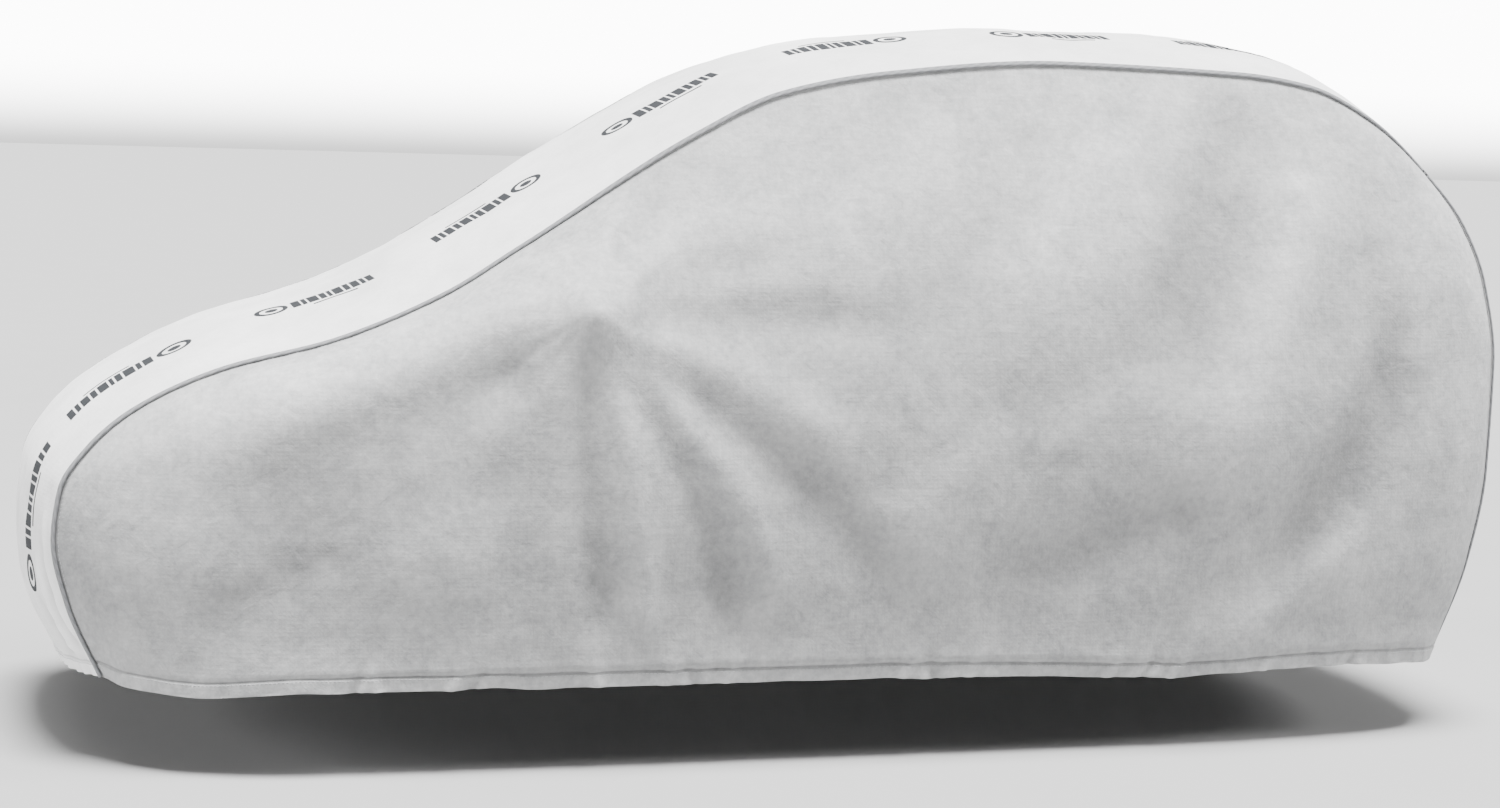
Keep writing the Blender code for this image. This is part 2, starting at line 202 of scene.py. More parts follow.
# creases of a side panel, seen square to the side, as (x, z)
SIDE_CREASES = (
    # the wing: a crest from the mirror to the nose with a broad hollow below it
    Crease("wing crest", (1.10, 0.985), (0.76, 0.915), (0.20, 0.600), 0.085, 0.100, 13.0,
           fade_in=0.15, fade_out=0.30),
    Crease("wing hollow", (1.06, 0.875), (0.70, 0.745), (0.24, 0.440), 0.115, 0.085, -14.0,
           fade_in=0.12),
    Crease("low wing hollow", (1.04, 0.715), (0.74, 0.570), (0.30, 0.410), 0.110, 0.100, -10.0,
           fade_in=0.25),
    Crease("wing fan crest", (1.04, 0.850), (0.88, 0.640), (0.72, 0.340), 0.055, 0.060, 4.5),
    Crease("wing fan hollow", (1.08, 0.850), (1.03, 0.600), (0.98, 0.290), 0.045, 0.045, -5.0),
    Crease("wheel hollow", (0.66, 0.500), (0.48, 0.400), (0.30, 0.290), 0.060, 0.060, -6.0),
    # short rays from the mirror up to the seam
    Crease("fore ray high", (1.10, 1.020), (0.98, 1.030), (0.84, 1.000), 0.014, 0.015, 2.4, 1.5),
    Crease("fore ray", (1.09, 1.000), (0.90, 0.975), (0.58, 0.890), 0.020, 0.022, 3.4, 1.5),
    Crease("fore ray steep", (1.12, 1.045), (1.07, 1.080), (0.98, 1.100), 0.013, 0.014, 2.6, 1.5),
    Crease("up ray", (1.17, 1.050), (1.21, 1.150), (1.30, 1.310), 0.020, 0.022, 4.6, 1.6),
    Crease("up hollow", (1.19, 1.040), (1.27, 1.150), (1.40, 1.300), 0.028, 0.030, -5.0, 1.8),
    Crease("up aft ray", (1.21, 1.035), (1.33, 1.130), (1.52, 1.250), 0.032, 0.034, 5.5, 1.8),
    Crease("up aft hollow", (1.24, 1.020), (1.42, 1.080), (1.72, 1.160), 0.045, 0.045, -6.0),
    # behind the mirror: a hollow, then rays that fan out and down over the doors
    Crease("aft hollow", (1.20, 0.985), (1.54, 0.990), (1.94, 0.960), 0.055, 0.055, -9.0),
    Crease("aft crest", (1.24, 0.945), (1.50, 0.860), (1.80, 0.640), 0.050, 0.055, 9.0),
    Crease("door fan hollow", (1.27, 0.880), (1.62, 0.620), (1.90, 0.300), 0.060, 0.060, -11.0,
           fade_out=0.30),
    Crease("door crest", (1.25, 0.880), (1.48, 0.600), (1.62, 0.260), 0.040, 0.040, 7.0,
           fade_out=0.30),
    Crease("door hollow", (1.22, 0.880), (1.39, 0.560), (1.49, 0.240), 0.038, 0.040, -8.5,
           fade_out=0.20),
    Crease("down crest", (1.185, 0.900), (1.250, 0.600), (1.280, 0.230), 0.034, 0.034, 8.0,
           fade_out=0.15),
    Crease("down hollow", (1.150, 0.930), (1.150, 0.640), (1.190, 0.260), 0.040, 0.036, -9.5,
           fade_out=0.20),
    # the flank: broad slanting bands
    Crease("shoulder crest", (2.040, 1.460), (1.840, 1.250), (1.600, 1.080), 0.090, 0.090, 6.0),
    Crease("flank hollow", (2.260, 1.440), (2.060, 1.180), (1.800, 0.900), 0.080, 0.080, -6.0),
    Crease("flank crest", (2.460, 1.450), (2.280, 1.180), (2.040, 0.840), 0.120, 0.110, 11.0),
    Crease("lower flank crest", (2.140, 0.800), (1.960, 0.620), (1.800, 0.400), 0.070, 0.070, 6.0),
    Crease("middle hollow", (2.480, 0.960), (2.220, 0.820), (1.900, 0.720), 0.080, 0.080, -7.0),
    Crease("sill hollow", (2.620, 0.600), (2.340, 0.470), (1.960, 0.360), 0.090, 0.085, -12.0),
    # the rear quarter: strong slanting folds toward the hem
    Crease("quarter hollow", (2.800, 1.540), (2.620, 1.190), (2.400, 0.800), 0.110, 0.100, -17.0),
    Crease("quarter crest", (2.930, 1.380), (2.770, 0.990), (2.530, 0.500), 0.090, 0.085, 15.0),
    Crease("tail hollow", (3.180, 1.120), (2.990, 0.690), (2.680, 0.300), 0.085, 0.080, -16.0,
           fade_in=0.30),
    Crease("tail crest", (3.120, 0.640), (2.880, 0.390), (2.580, 0.225), 0.055, 0.055, 9.0,
           fade_in=0.35, fade_out=0.25),
    Crease("tail edge crest", (3.230, 1.260), (3.170, 1.020), (3.140, 0.800), 0.040, 0.045, 5.0),
    Crease("tail edge hollow", (3.080, 1.360), (3.040, 1.120), (3.060, 0.900), 0.050, 0.045, -6.0),
)
# short folds that rise from the hem where the elastic gathers it: x, lean, height up the cloth
HEM_GATHERS = (
    (0.655, 0.030, 0.085), (0.700, -0.020, 0.060), (0.860, 0.045, 0.070), (0.905, 0.030, 0.050),
    (1.180, -0.020, 0.060), (1.330, 0.030, 0.080), (1.400, -0.030, 0.065), (1.470, 0.020, 0.050),
    (1.880, 0.040, 0.070), (1.960, -0.030, 0.080), (2.040, 0.020, 0.060), (2.380, 0.060, 0.110),
    (2.470, 0.080, 0.120), (2.540, 0.060, 0.090), (2.780, 0.030, 0.050), (3.020, 0.030, 0.060),
)
# creases of the centre panel on its flat cut: (run along the seam, distance from the middle)
CENTRE_CREASES = (
    Crease("bumper fold", (0.290, -0.335), (0.170, -0.385), (0.040, -0.430), 0.017, 0.015, 12.0,
           1.6, 0.3, 0.15),
    Crease("bumper tuck", (0.330, -0.372), (0.190, -0.415), (0.050, -0.450), 0.014, 0.014, -12.0,
           1.6, 0.3, 0.15),
    Crease("bumper fold outer", (0.400, -0.405), (0.230, -0.440), (0.070, -0.470), 0.013, 0.013,
           10.0, 1.6, 0.3, 0.15),
    Crease("bumper hollow low", (0.200, -0.270), (0.120, -0.320), (0.030, -0.370), 0.020, 0.020,
           -8.0, 1.8, 0.3, 0.15),
    Crease("bumper hollow far", (0.420, 0.330), (0.240, 0.370), (0.060, 0.420), 0.020, 0.020,
           -7.0, 1.8, 0.3, 0.15),
    Crease("bumper fold far", (0.440, 0.370), (0.260, 0.410), (0.060, 0.450), 0.018, 0.018, 8.0,
           1.6, 0.3, 0.15),
    Crease("bonnet ripple", (1.180, -0.420), (1.300, -0.150), (1.330, 0.200), 0.070, 0.070, -3.5),
    Crease("screen ripple", (1.560, -0.460), (1.680, -0.200), (1.700, 0.220), 0.080, 0.080, 3.5),
    Crease("roof ripple", (2.300, -0.460), (2.440, -0.100), (2.400, 0.350), 0.080, 0.080, 3.0),
    Crease("roof hollow", (2.900, 0.420), (3.020, 0.050), (2.960, -0.380), 0.120, 0.120, -4.0),
    Crease("tail ripple", (4.050, -0.500), (4.140, 0.000), (4.060, 0.480), 0.070, 0.080, 4.0),
    Crease("tail fold", (5.050, 0.420), (4.850, 0.360), (4.620, 0.340), 0.020, 0.020, 4.0, 1.6),
    Crease("tail fold far", (5.060, -0.400), (4.860, -0.330), (4.660, -0.320), 0.020, 0.020, 4.0,
           1.6),
)


# ------------------------------------------------------------------ curves and small maths


def ease(knots: Sequence[float], values: Sequence[float], at: np.ndarray) -> np.ndarray:
    """Shape-keeping cubic through the knots, with no overshoot between them.

    Args:
        knots: rising positions of the known values.
        values: the value at each knot.
        at: positions to read, of any shape.

    Returns:
        The values at those positions.
    """
    knots, values, at = (np.asarray(a, float) for a in (knots, values, at))
    step = np.diff(knots)
    slope = np.diff(values) / step
    tangent = np.zeros_like(values)
    tangent[0], tangent[-1] = slope[0], slope[-1]
    for i in range(1, len(knots) - 1):
        if slope[i - 1] * slope[i] > 0.0:
            w1, w2 = 2 * step[i] + step[i - 1], step[i] + 2 * step[i - 1]
            tangent[i] = (w1 + w2) / (w1 / slope[i - 1] + w2 / slope[i])
    i = np.clip(np.searchsorted(knots, at, side="right") - 1, 0, len(step) - 1)
    h = step[i]
    t = np.clip((at - knots[i]) / h, 0.0, 1.0)
    return ((1 + 2 * t) * (1 - t) ** 2 * values[i] + t * (1 - t) ** 2 * h * tangent[i]
            + t * t * (3 - 2 * t) * values[i + 1] - t * t * (1 - t) * h * tangent[i + 1])


def unit(vectors: np.ndarray) -> np.ndarray:
    """Rows scaled to length one."""
    return vectors / np.maximum(np.linalg.norm(vectors, axis=-1, keepdims=True), 1e-12)


def fade(value: np.ndarray) -> np.ndarray:
    """Smooth rise from 0 to 1 as the value goes from 0 to 1."""
    t = np.clip(value, 0.0, 1.0)
    return t * t * (3.0 - 2.0 * t)


def grid_normals(grid: np.ndarray) -> np.ndarray:
    """Unit normals at the points of a grid."""
    return unit(np.cross(np.gradient(grid, axis=0), np.gradient(grid, axis=1)))


def crease_height(crease: Crease, a: np.ndarray, b: np.ndarray) -> np.ndarray:
    """Height of one crease over a flat plane.

    Args:
        crease: the crease.
        a: first flat coordinate of every point.
        b: second flat coordinate of every point.

    Returns:
        The height at every point, in metres.
    """
    t = np.linspace(0.0, 1.0, 15)[:, None]
    p0, p1, p2 = (np.array(p) for p in (crease.start, crease.middle, crease.end))
    path = (1 - t) ** 2 * p0 + 2 * t * (1 - t) * (2 * p1 - 0.5 * (p0 + p2)) + t * t * p2
    best = np.full(a.shape, 1e9)
    share = np.zeros(a.shape)
    hand = np.zeros(a.shape)
    pieces = len(path) - 1
    for k in range(pieces):
        start, run = path[k], path[k + 1] - path[k]
        along = ((a - start[0]) * run[0] + (b - start[1]) * run[1]) / (run @ run)
        clipped = np.clip(along, 0.0, 1.0)
        da, db = a - start[0] - clipped * run[0], b - start[1] - clipped * run[1]
        gap = np.hypot(da, db)
        near = gap < best
        best = np.where(near, gap, best)
        share = np.where(near, (k + clipped) / pieces, share)
        hand = np.where(near, run[0] * db - run[1] * da, hand)
    half = np.where(hand > 0.0, crease.left, crease.right) * (0.65 + 0.65 * share)
    taper = (fade(share / crease.fade_in) * fade((1.0 - share) / crease.fade_out)
             * (0.6 + 0.6 * share))
    return crease.height_mm * MM * taper * np.exp(-(best / half) ** crease.crisp)


def ripple(a: np.ndarray, b: np.ndarray, length: float, seed: int, waves: int = 22) -> np.ndarray:
    """Soft uneven ripple from a fixed set of crossing waves.

    Args:
        a: first flat coordinate of every point.
        b: second flat coordinate of every point.
        length: typical distance from crest to crest, in metres.
        seed: fixes the draw.
        waves: how many waves cross.

    Returns:
        A height of about -1 to 1 at every point.
    """
    draw = np.random.default_rng(seed)
    total = np.zeros(np.shape(a))
    for _ in range(waves):
        turn, phase = draw.uniform(0.0, 2 * math.pi, 2)
        pitch = length * draw.uniform(0.65, 1.6)
        total = total + np.sin(2 * math.pi * (a * math.cos(turn) + b * math.sin(turn)) / pitch
                               + phase)
    return total / math.sqrt(waves) * 0.8


class Seam:
    """The left seam, from the front hem over the roof to the rear hem."""

    def __init__(self) -> None:
        """Lay the seam's stations end to end."""
        rows = SEAM_FRONT + SEAM_TOP + SEAM_REAR
        self.columns = {n: np.array([getattr(r, n) for r in rows])
                        for n in ("x", "half", "z", "crown")}
        points = np.stack([self.columns[n] for n in ("x", "half", "z")], 1)
        chord = np.linalg.norm(np.diff(points, axis=0), axis=1)
        self.knots = np.concatenate([[0.0], np.cumsum(chord)])
        self.front_end = float(self.knots[len(SEAM_FRONT) - 1])
        self.top_end = float(self.knots[len(SEAM_FRONT) + len(SEAM_TOP) - 1])
        self.end = float(self.knots[-1])

    def value(self, name: str, run: np.ndarray) -> np.ndarray:
        """A named column of the seam table at the given runs."""
        return ease(self.knots, self.columns[name], run)

    def points(self, run: np.ndarray) -> np.ndarray:
        """Points of the left seam at the given runs."""
        run = np.asarray(run, float)
        return np.stack([self.value("x", run), -self.value("half", run),
                         self.value("z", run)], -1)


# ------------------------------------------------------------------ meshes and materials


def linear(code: str) -> tuple[float, float, float, float]:
    """Linear colour of an sRGB hex code.

    Args:
        code: the code, such as "#C8CACB".

    Returns:
        Red, green, blue and alpha from 0 to 1.
    """
    parts = [int(code[i:i + 2], 16) / 255.0 for i in (1, 3, 5)]
    r, g, b = (c / 12.92 if c <= 0.04045 else ((c + 0.055) / 1.055) ** 2.4 for c in parts)
    return (r, g, b, 1.0)


def add_node(tree: bpy.types.NodeTree, kind: str, settings: dict[str, Any] | None = None,
             inputs: dict[Any, Any] | None = None) -> bpy.types.Node:
    """Add one node with its settings, its input values and its links.

    Args:
        tree: the node tree.
        kind: Blender's node type.
        settings: properties to set on the node.
        inputs: input name or index to a value, or to an output socket that is linked to it.

    Returns:
        The new node.
    """
    node = tree.nodes.new(kind)
    for name, value in (settings or {}).items():
        setattr(node, name, value)
    for name, value in (inputs or {}).items():
        if isinstance(value, bpy.types.NodeSocket):
            tree.links.new(value, node.inputs[name])
        else:
            node.inputs[name].default_value = value
    return node


def new_material(name: str) -> tuple[bpy.types.Material, bpy.types.NodeTree]:
    """Start an empty node material.

    Args:
        name: material name.

    Returns:
        The material and its node tree.
    """
    material = bpy.data.materials.new(name)
    material.use_nodes = True
    material.node_tree.nodes.clear()
    return material, material.node_tree


def close_material(tree: bpy.types.NodeTree, shader: bpy.types.Node) -> None:
    """Join a shader to the material's output."""
    add_node(tree, "ShaderNodeOutputMaterial", inputs={"Surface": shader.outputs[0]})


@dataclass(frozen=True)
class NonWoven:
    """Spun-bonded polypropylene cloth: pressed fine fibres with no weave.

    It is matt and very slightly sheeny, clouded where the fibres lie thicker, and pressed all
    over with a fine grid of bond points. Its colour also carries painted shade, in hollows,
    low on the sides and in the hem's stitch groove, and a painted highlight on crests.
    """

    name: str
    colour: str
    thick_colour: str
    cloud_mm: float = 150.0
    fleck_mm: float = 17.0
    bond_mm: float = 9.0        # really about 1 mm: drawn coarse enough to show
    crumple_mm: float = 46.0
    bond_depth: float = 0.16
    bond_rim: tuple[float, float] = (0.12, 0.42)
    crumple_depth: float = 0.9
    fleck_weight: float = 0.9
    tone_range: tuple[float, float] = (0.64, 1.26)
    doubled_tone: float = 1.05  # two layers let less light through, so the hem is paler
    # painted shade: the cloth's tone in the hem's stitch groove
    groove_tone: float = 0.62
    # painted shade and painted highlight, not a stain: the cloth is made darker in a hollow
    # and low on the sides and paler on a crest, by where it lies on the piece itself, to
    # strengthen what the soft light shows
    fold_tone: float = 0.30
    tone_per_lie: float = 0.8
    roughness: float = 0.88
    sheen: float = 0.12

    def make(self) -> bpy.types.Material:
        """Build the material.

        Returns:
            The material.
        """
        material, tree = new_material(self.name)
        place = add_node(tree, "ShaderNodeTexCoord").outputs["Object"]
        flat = add_node(tree, "ShaderNodeUVMap", {"uv_map": CLOTH_UV}).outputs["UV"]
        cloud = add_node(tree, "ShaderNodeTexNoise", inputs={
            "Vector": place, "Scale": 1.0 / (self.cloud_mm * MM), "Detail": 5.0,
            "Roughness": 0.62, "Distortion": 0.4})
        fleck = add_node(tree, "ShaderNodeTexNoise", inputs={
            "Vector": place, "Scale": 1.0 / (self.fleck_mm * MM), "Detail": 4.0,
            "Roughness": 0.7})
        both = add_node(tree, "ShaderNodeMath", {"operation": "MULTIPLY_ADD"}, {
            0: fleck.outputs["Fac"], 1: self.fleck_weight, 2: cloud.outputs["Fac"]})
        share = add_node(tree, "ShaderNodeMapRange", inputs={
            "Value": both.outputs[0], "From Min": self.tone_range[0],
            "From Max": self.tone_range[1]})
        tone = add_node(tree, "ShaderNodeMix", {"data_type": "RGBA"}, {
            "Factor": share.outputs[0], "A": linear(self.colour),
            "B": linear(self.thick_colour)})
        # paler on the turned hem; painted shade in its stitch groove
        layers = add_node(tree, "ShaderNodeAttribute", {"attribute_name": DOUBLED})
        hem = add_node(tree, "ShaderNodeMapRange", inputs={
            "Value": layers.outputs["Fac"], "From Min": -1.0, "From Max": 1.0,
            "To Min": self.groove_tone, "To Max": self.doubled_tone})
        plain = add_node(tree, "ShaderNodeMath", {"operation": "ABSOLUTE"}, {
            0: layers.outputs["Fac"]})
        gain = add_node(tree, "ShaderNodeMix", inputs={
            "Factor": plain.outputs[0], "A": 1.0, "B": hem.outputs[0]})
        # painted shade in hollows and low on the sides, painted highlight on crests
        fold = add_node(tree, "ShaderNodeAttribute", {"attribute_name": PAINTED_SHADE})
        painted_shade_gain = add_node(tree, "ShaderNodeMapRange", inputs={
            "Value": fold.outputs["Fac"], "From Min": PAINTED_SHADE_LOW, "From Max": PAINTED_SHADE_HIGH,
            "To Min": 1.0 + self.tone_per_lie * PAINTED_SHADE_LOW * self.fold_tone,
            "To Max": 1.0 + self.tone_per_lie * PAINTED_SHADE_HIGH * self.fold_tone})
        both_gains = add_node(tree, "ShaderNodeMath", {"operation": "MULTIPLY"}, {
            0: gain.outputs["Result"], 1: painted_shade_gain.outputs[0]})
        tinted = add_node(tree, "ShaderNodeVectorMath", {"operation": "SCALE"}, {
            0: tone.outputs["Result"], "Scale": both_gains.outputs[0]})
        bond = add_node(tree, "ShaderNodeTexVoronoi", {"distance": "CHEBYCHEV"}, {
            "Vector": flat, "Scale": UV_METRES / (self.bond_mm * MM), "Randomness": 0.25})
        pressed = add_node(tree, "ShaderNodeMapRange", inputs={
            "Value": bond.outputs["Distance"], "From Min": self.bond_rim[0],
            "From Max": self.bond_rim[1]})
        crumple = add_node(tree, "ShaderNodeTexNoise", inputs={
            "Vector": place, "Scale": 1.0 / (self.crumple_mm * MM), "Detail": 6.0,
            "Roughness": 0.55, "Distortion": 0.6})
        first = add_node(tree, "ShaderNodeBump", inputs={
            "Strength": 1.0, "Distance": self.crumple_depth * MM,
            "Height": crumple.outputs["Fac"]})
        second = add_node(tree, "ShaderNodeBump", inputs={
            "Strength": 1.0, "Distance": self.bond_depth * MM,
            "Height": pressed.outputs[0], "Normal": first.outputs[0]})
        shader = add_node(tree, "ShaderNodeBsdfPrincipled", inputs={
            "Base Color": tinted.outputs[0], "Roughness": self.roughness,
            "Sheen Weight": self.sheen, "Sheen Roughness": 0.6, "Specular IOR Level": 0.25,
            "Normal": second.outputs[0]})
        close_material(tree, shader)
        return material


@dataclass(frozen=True)
class WovenTape:
    """Polyester binding tape: a close narrow weave, with shade painted into its grooves."""

    name: str
    colour: str
    # painted shade in the grooves between the ribs
    groove_colour: str
    rib_mm: float = 7.0         # really about 1 mm: drawn coarse enough to show
    rib_depth: float = 0.25
    grime_mm: float = 60.0
    grime_weight: float = 0.6
    roughness: float = 0.8

    def make(self) -> bpy.types.Material:
        """Build the material.

        Returns:
            The material.
        """
        material, tree = new_material(self.name)
        flat = add_node(tree, "ShaderNodeUVMap", {"uv_map": CLOTH_UV}).outputs["UV"]
        place = add_node(tree, "ShaderNodeTexCoord").outputs["Object"]
        rib = add_node(tree, "ShaderNodeTexWave", {"bands_direction": "DIAGONAL"}, {
            "Vector": flat, "Scale": UV_METRES / (self.rib_mm * MM) / (2 * math.pi),
            "Distortion": 0.0})
        grime = add_node(tree, "ShaderNodeTexNoise", inputs={
            "Vector": place, "Scale": 1.0 / (self.grime_mm * MM), "Detail": 3.0})
        # random grime, and painted shade in the rib grooves
        grime_and_groove_shade = add_node(tree, "ShaderNodeMath", {"operation": "MULTIPLY_ADD"}, {
            0: grime.outputs["Fac"], 1: self.grime_weight, 2: rib.outputs["Fac"]})
        share = add_node(tree, "ShaderNodeMapRange", inputs={
            "Value": grime_and_groove_shade.outputs[0], "From Min": 0.1, "From Max": 1.3})
        tone = add_node(tree, "ShaderNodeMix", {"data_type": "RGBA"}, {
            "Factor": share.outputs[0], "A": linear(self.groove_colour),
            "B": linear(self.colour)})
        bump = add_node(tree, "ShaderNodeBump", inputs={
            "Strength": 1.0, "Distance": self.rib_depth * MM, "Height": rib.outputs["Fac"]})
        shader = add_node(tree, "ShaderNodeBsdfPrincipled", inputs={
            "Base Color": tone.outputs["Result"], "Roughness": self.roughness,
            "Sheen Weight": 0.1, "Specular IOR Level": 0.3, "Normal": bump.outputs[0]})
        close_material(tree, shader)
        return material


@dataclass(frozen=True)
class Mottled:
    """A plain matt finish with a fine uneven tone: sewing thread, printing ink, studio floor."""

    name: str
    colour: str
    pale_colour: str
    grain_mm: float
    roughness: float

    def make(self) -> bpy.types.Material:
        """Build the material.

        Returns:
            The material.
        """
        material, tree = new_material(self.name)
        place = add_node(tree, "ShaderNodeTexCoord").outputs["Object"]
        grain = add_node(tree, "ShaderNodeTexNoise", inputs={
            "Vector": place, "Scale": 1.0 / (self.grain_mm * MM), "Detail": 3.0})
        tone = add_node(tree, "ShaderNodeMix", {"data_type": "RGBA"}, {
            "Factor": grain.outputs["Fac"], "A": linear(self.colour),
            "B": linear(self.pale_colour)})
        shader = add_node(tree, "ShaderNodeBsdfPrincipled", inputs={
            "Base Color": tone.outputs["Result"], "Roughness": self.roughness,
            "Specular IOR Level": 0.2})
        close_material(tree, shader)
        return material


# undyed spun-bonded polypropylene: near white, matt, faintly clouded and crumpled;
# its folds carry a stronger painted shade and highlight
CENTRE_CLOTH = NonWoven("near_white_spunbond", "#ECECEC", "#FBFBFB", cloud_mm=90.0,
                        crumple_depth=2.2, fold_tone=0.40)
# the same cloth dyed light grey: the clouding shows more, and so does every crumple
SIDE_CLOTH = NonWoven("light_grey_spunbond", "#9B9C9D", "#C9C9C9", crumple_depth=3.2)
# close-woven polyester: a firm mid-grey edge with fine slanting ribs
BINDING_TAPE = WovenTape("grey_polyester_tape", "#8B8C8E", "#76777A")
# spun polyester: short dull stitches, a little uneven in tone
SEWING_THREAD = Mottled("grey_polyester_thread", "#B4B6B8", "#CCCDCE", 4.0, 0.7)
# thin water-based ink: flat and dark, broken a little where the fibres take it
PRINTING_INK = Mottled("charcoal_flexo_ink", "#2B2D30", "#3F4144", 9.0, 0.75)
# matt floor paint: even and pale, with no gloss
STUDIO_FLOOR = Mottled("pale_painted_floor", "#A8A8A8", "#ACACAC", 400.0, 0.9)


def into_scene(name: str, data: bpy.types.ID) -> bpy.types.Object:
    """Put a mesh, light or camera in the scene.

    Args:
        name: name of the object.
        data: what it holds.

    Returns:
        The object, at the origin.
    """
    thing = bpy.data.objects.new(name, data)
    bpy.context.scene.collection.objects.link(thing)
    return thing


def link_object(name: str, mesh: bpy.types.Mesh, material: bpy.types.Material
                ) -> bpy.types.Object:
    """Give a mesh one material and put it in the scene.

    Args:
        name: name of the object.
        mesh: its shape.
        material: its only finish.

    Returns:
        The object, at the origin.
    """
    mesh.materials.clear()
    mesh.materials.append(material)
    return into_scene(name, mesh)


def axes_matrix(right: np.ndarray, above: np.ndarray, back: np.ndarray, spot: np.ndarray
                ) -> Matrix:
    """Placing of a camera or light from its three directions and its position.

    Args:
        right: its own x.
        above: its own y.
        back: its own z, away from where it looks.
        spot: its position in the frame's axes.

    Returns:
        The world matrix.
    """
    rows = [[right[k], above[k], back[k], spot[k]] for k in range(3)]
    return Matrix(rows + [[0, 0, 0, 1]])


def mesh_from(name: str, points: np.ndarray, faces: Iterable[Sequence[int]],
              uv: np.ndarray | None = None) -> bpy.types.Mesh:
    """A smooth-shaded mesh with its faces outward.

    Args:
        name: mesh name.
        points: every point, in working axes.
        faces: corner numbers of every face.
        uv: flat position of every face corner, in face order.

    Returns:
        The mesh, in the frame's axes.
    """
    faces = [tuple(int(k) for k in f) for f in faces]
    mesh = bpy.data.meshes.new(name)
    mesh.from_pydata((points - ROOF_REST).tolist(), [], faces)
    if uv is not None:
        mesh.uv_layers.new(name=CLOTH_UV)
        mesh.uv_layers[CLOTH_UV].data.foreach_set("uv", uv.astype(np.float32).ravel())
    mesh.update()
    mesh.shade_smooth()
    mesh.set_sharp_from_angle(angle=SHARP_EDGE)
    return mesh


def sheet_mesh(name: str, outer: np.ndarray, inner: np.ndarray, flat: np.ndarray,
               doubled: np.ndarray, lie: np.ndarray) -> bpy.types.Mesh:
    """A closed sheet from its outer grid, inner grid and flat cloth positions.

    Args:
        name: mesh name.
        outer: outer points, rows by columns by 3.
        inner: inner points, the same shape.
        flat: flat position of every outer point, rows by columns by 2.
        doubled: 1 where the cloth is turned up double at the hem, below 0 in its stitch groove,
            where shade is painted, and 0 elsewhere.
        lie: painted shade and highlight, from the height of the folds in units of a full fold.

    Returns:
        The closed mesh.
    """
    rows, cols = outer.shape[:2]
    size = rows * cols
    index = np.arange(size).reshape(rows, cols)
    a, b = index[:-1, :-1].ravel(), index[:-1, 1:].ravel()
    c, d = index[1:, 1:].ravel(), index[1:, :-1].ravel()
    front = np.stack([a, b, c, d], 1)
    back = np.stack([d, c, b, a], 1) + size
    ring = np.concatenate([index[0, :], index[1:, -1], index[-1, -2::-1], index[-2:0:-1, 0]])
    after = np.roll(ring, -1)
    wall = np.stack([after, ring, ring + size, after + size], 1)
    faces = np.concatenate([front, back, wall])
    edge_on = np.stack([after, ring, ring, after], 1)
    points = np.concatenate([outer.reshape(-1, 3), inner.reshape(-1, 3)])
    p, q, r = points[front[:, 0]], points[front[:, 1]], points[front[:, 2]]
    corners = np.concatenate([front, back, edge_on])
    if np.sum(np.cross(q - p, r - p) * (p - INSIDE)) < 0.0:
        faces, corners = faces[:, ::-1], corners[:, ::-1]
    spread = np.concatenate([flat.reshape(-1, 2),
                             flat.reshape(-1, 2) + np.array([0.0, UV_INSIDE_SHIFT])])
    mesh = mesh_from(name, points, faces, spread[corners.ravel()])
    for word, values in ((DOUBLED, doubled), (PAINTED_SHADE, lie)):
        layer = mesh.attributes.new(word, "FLOAT", "POINT")
        layer.data.foreach_set("value", np.tile(values.ravel(), 2).astype(np.float32))
    return mesh


# ------------------------------------------------------------------ the pieces


@dataclass
class Cutting:
    """Sizes shared by the panels."""

    cloth: float = 1.6 * MM
    hem_cloth: float = 3.6 * MM
    hem_band: float = 30.0 * MM
    hem_step: float = 3.0 * MM
    hem_proud: float = 2.2 * MM
    hem_groove: float = 2.4 * MM
    groove_above: float = 2.0 * MM
    groove_width: float = 3.6 * MM
    seam_gap: float = 0.25 * MM
    top_cells: int = 330
    fall_cells: int = 104
    hem_cells: int = 16
    hem_reach: float = 44.0 * MM
    across_cells: int = 80
    crown_power: float = 2.3
    seam: Seam = field(default_factory=Seam)

    def fall_shares(self, length: np.ndarray) -> np.ndarray:
        """Row shares down a fall, closer together over the hem.

        Args:
            length: length of the fall.

        Returns:
            Shares from 0 at the seam to 1 at the hem.
        """
        plain = 1.0 - self.hem_reach / length
        body = np.linspace(0.0, 1.0, self.fall_cells + 1)
        foot = np.linspace(0.0, 1.0, self.hem_cells + 1)[1:]
        return np.concatenate([plain * body, plain + (1.0 - plain) * foot])

    def band(self, up: np.ndarray) -> np.ndarray:
        """1 on the turned hem and 0 above it, at a height `up` from the edge."""
        return fade((self.hem_band - up) / self.hem_step + 0.5)

    def groove(self, up: np.ndarray) -> np.ndarray:
        """1 in the groove that the hem stitches pull, 0 away from it."""
        return np.exp(-((up - self.hem_band - self.groove_above) / self.groove_width) ** 2)

    def thickness(self, up: np.ndarray) -> np.ndarray:
        """Thickness of the cloth at a height `up` from the edge, doubled on the hem."""
        return self.cloth + (self.hem_cloth - self.cloth) * self.band(up)

    def runs(self) -> np.ndarray:
        """Lay out the rows of the seam.

        Returns:
            Runs of every station, front hem to rear hem.
        """
        seam = self.seam
        front = seam.front_end * (1.0 - self.fall_shares(seam.front_end)[::-1])
        top = seam.front_end + np.linspace(0, 1, self.top_cells + 1) * (
            seam.top_end - seam.front_end)
        rear = seam.top_end + self.fall_shares(seam.end - seam.top_end) * (
            seam.end - seam.top_end)
        return np.concatenate([front[:-1], top, rear[1:]])


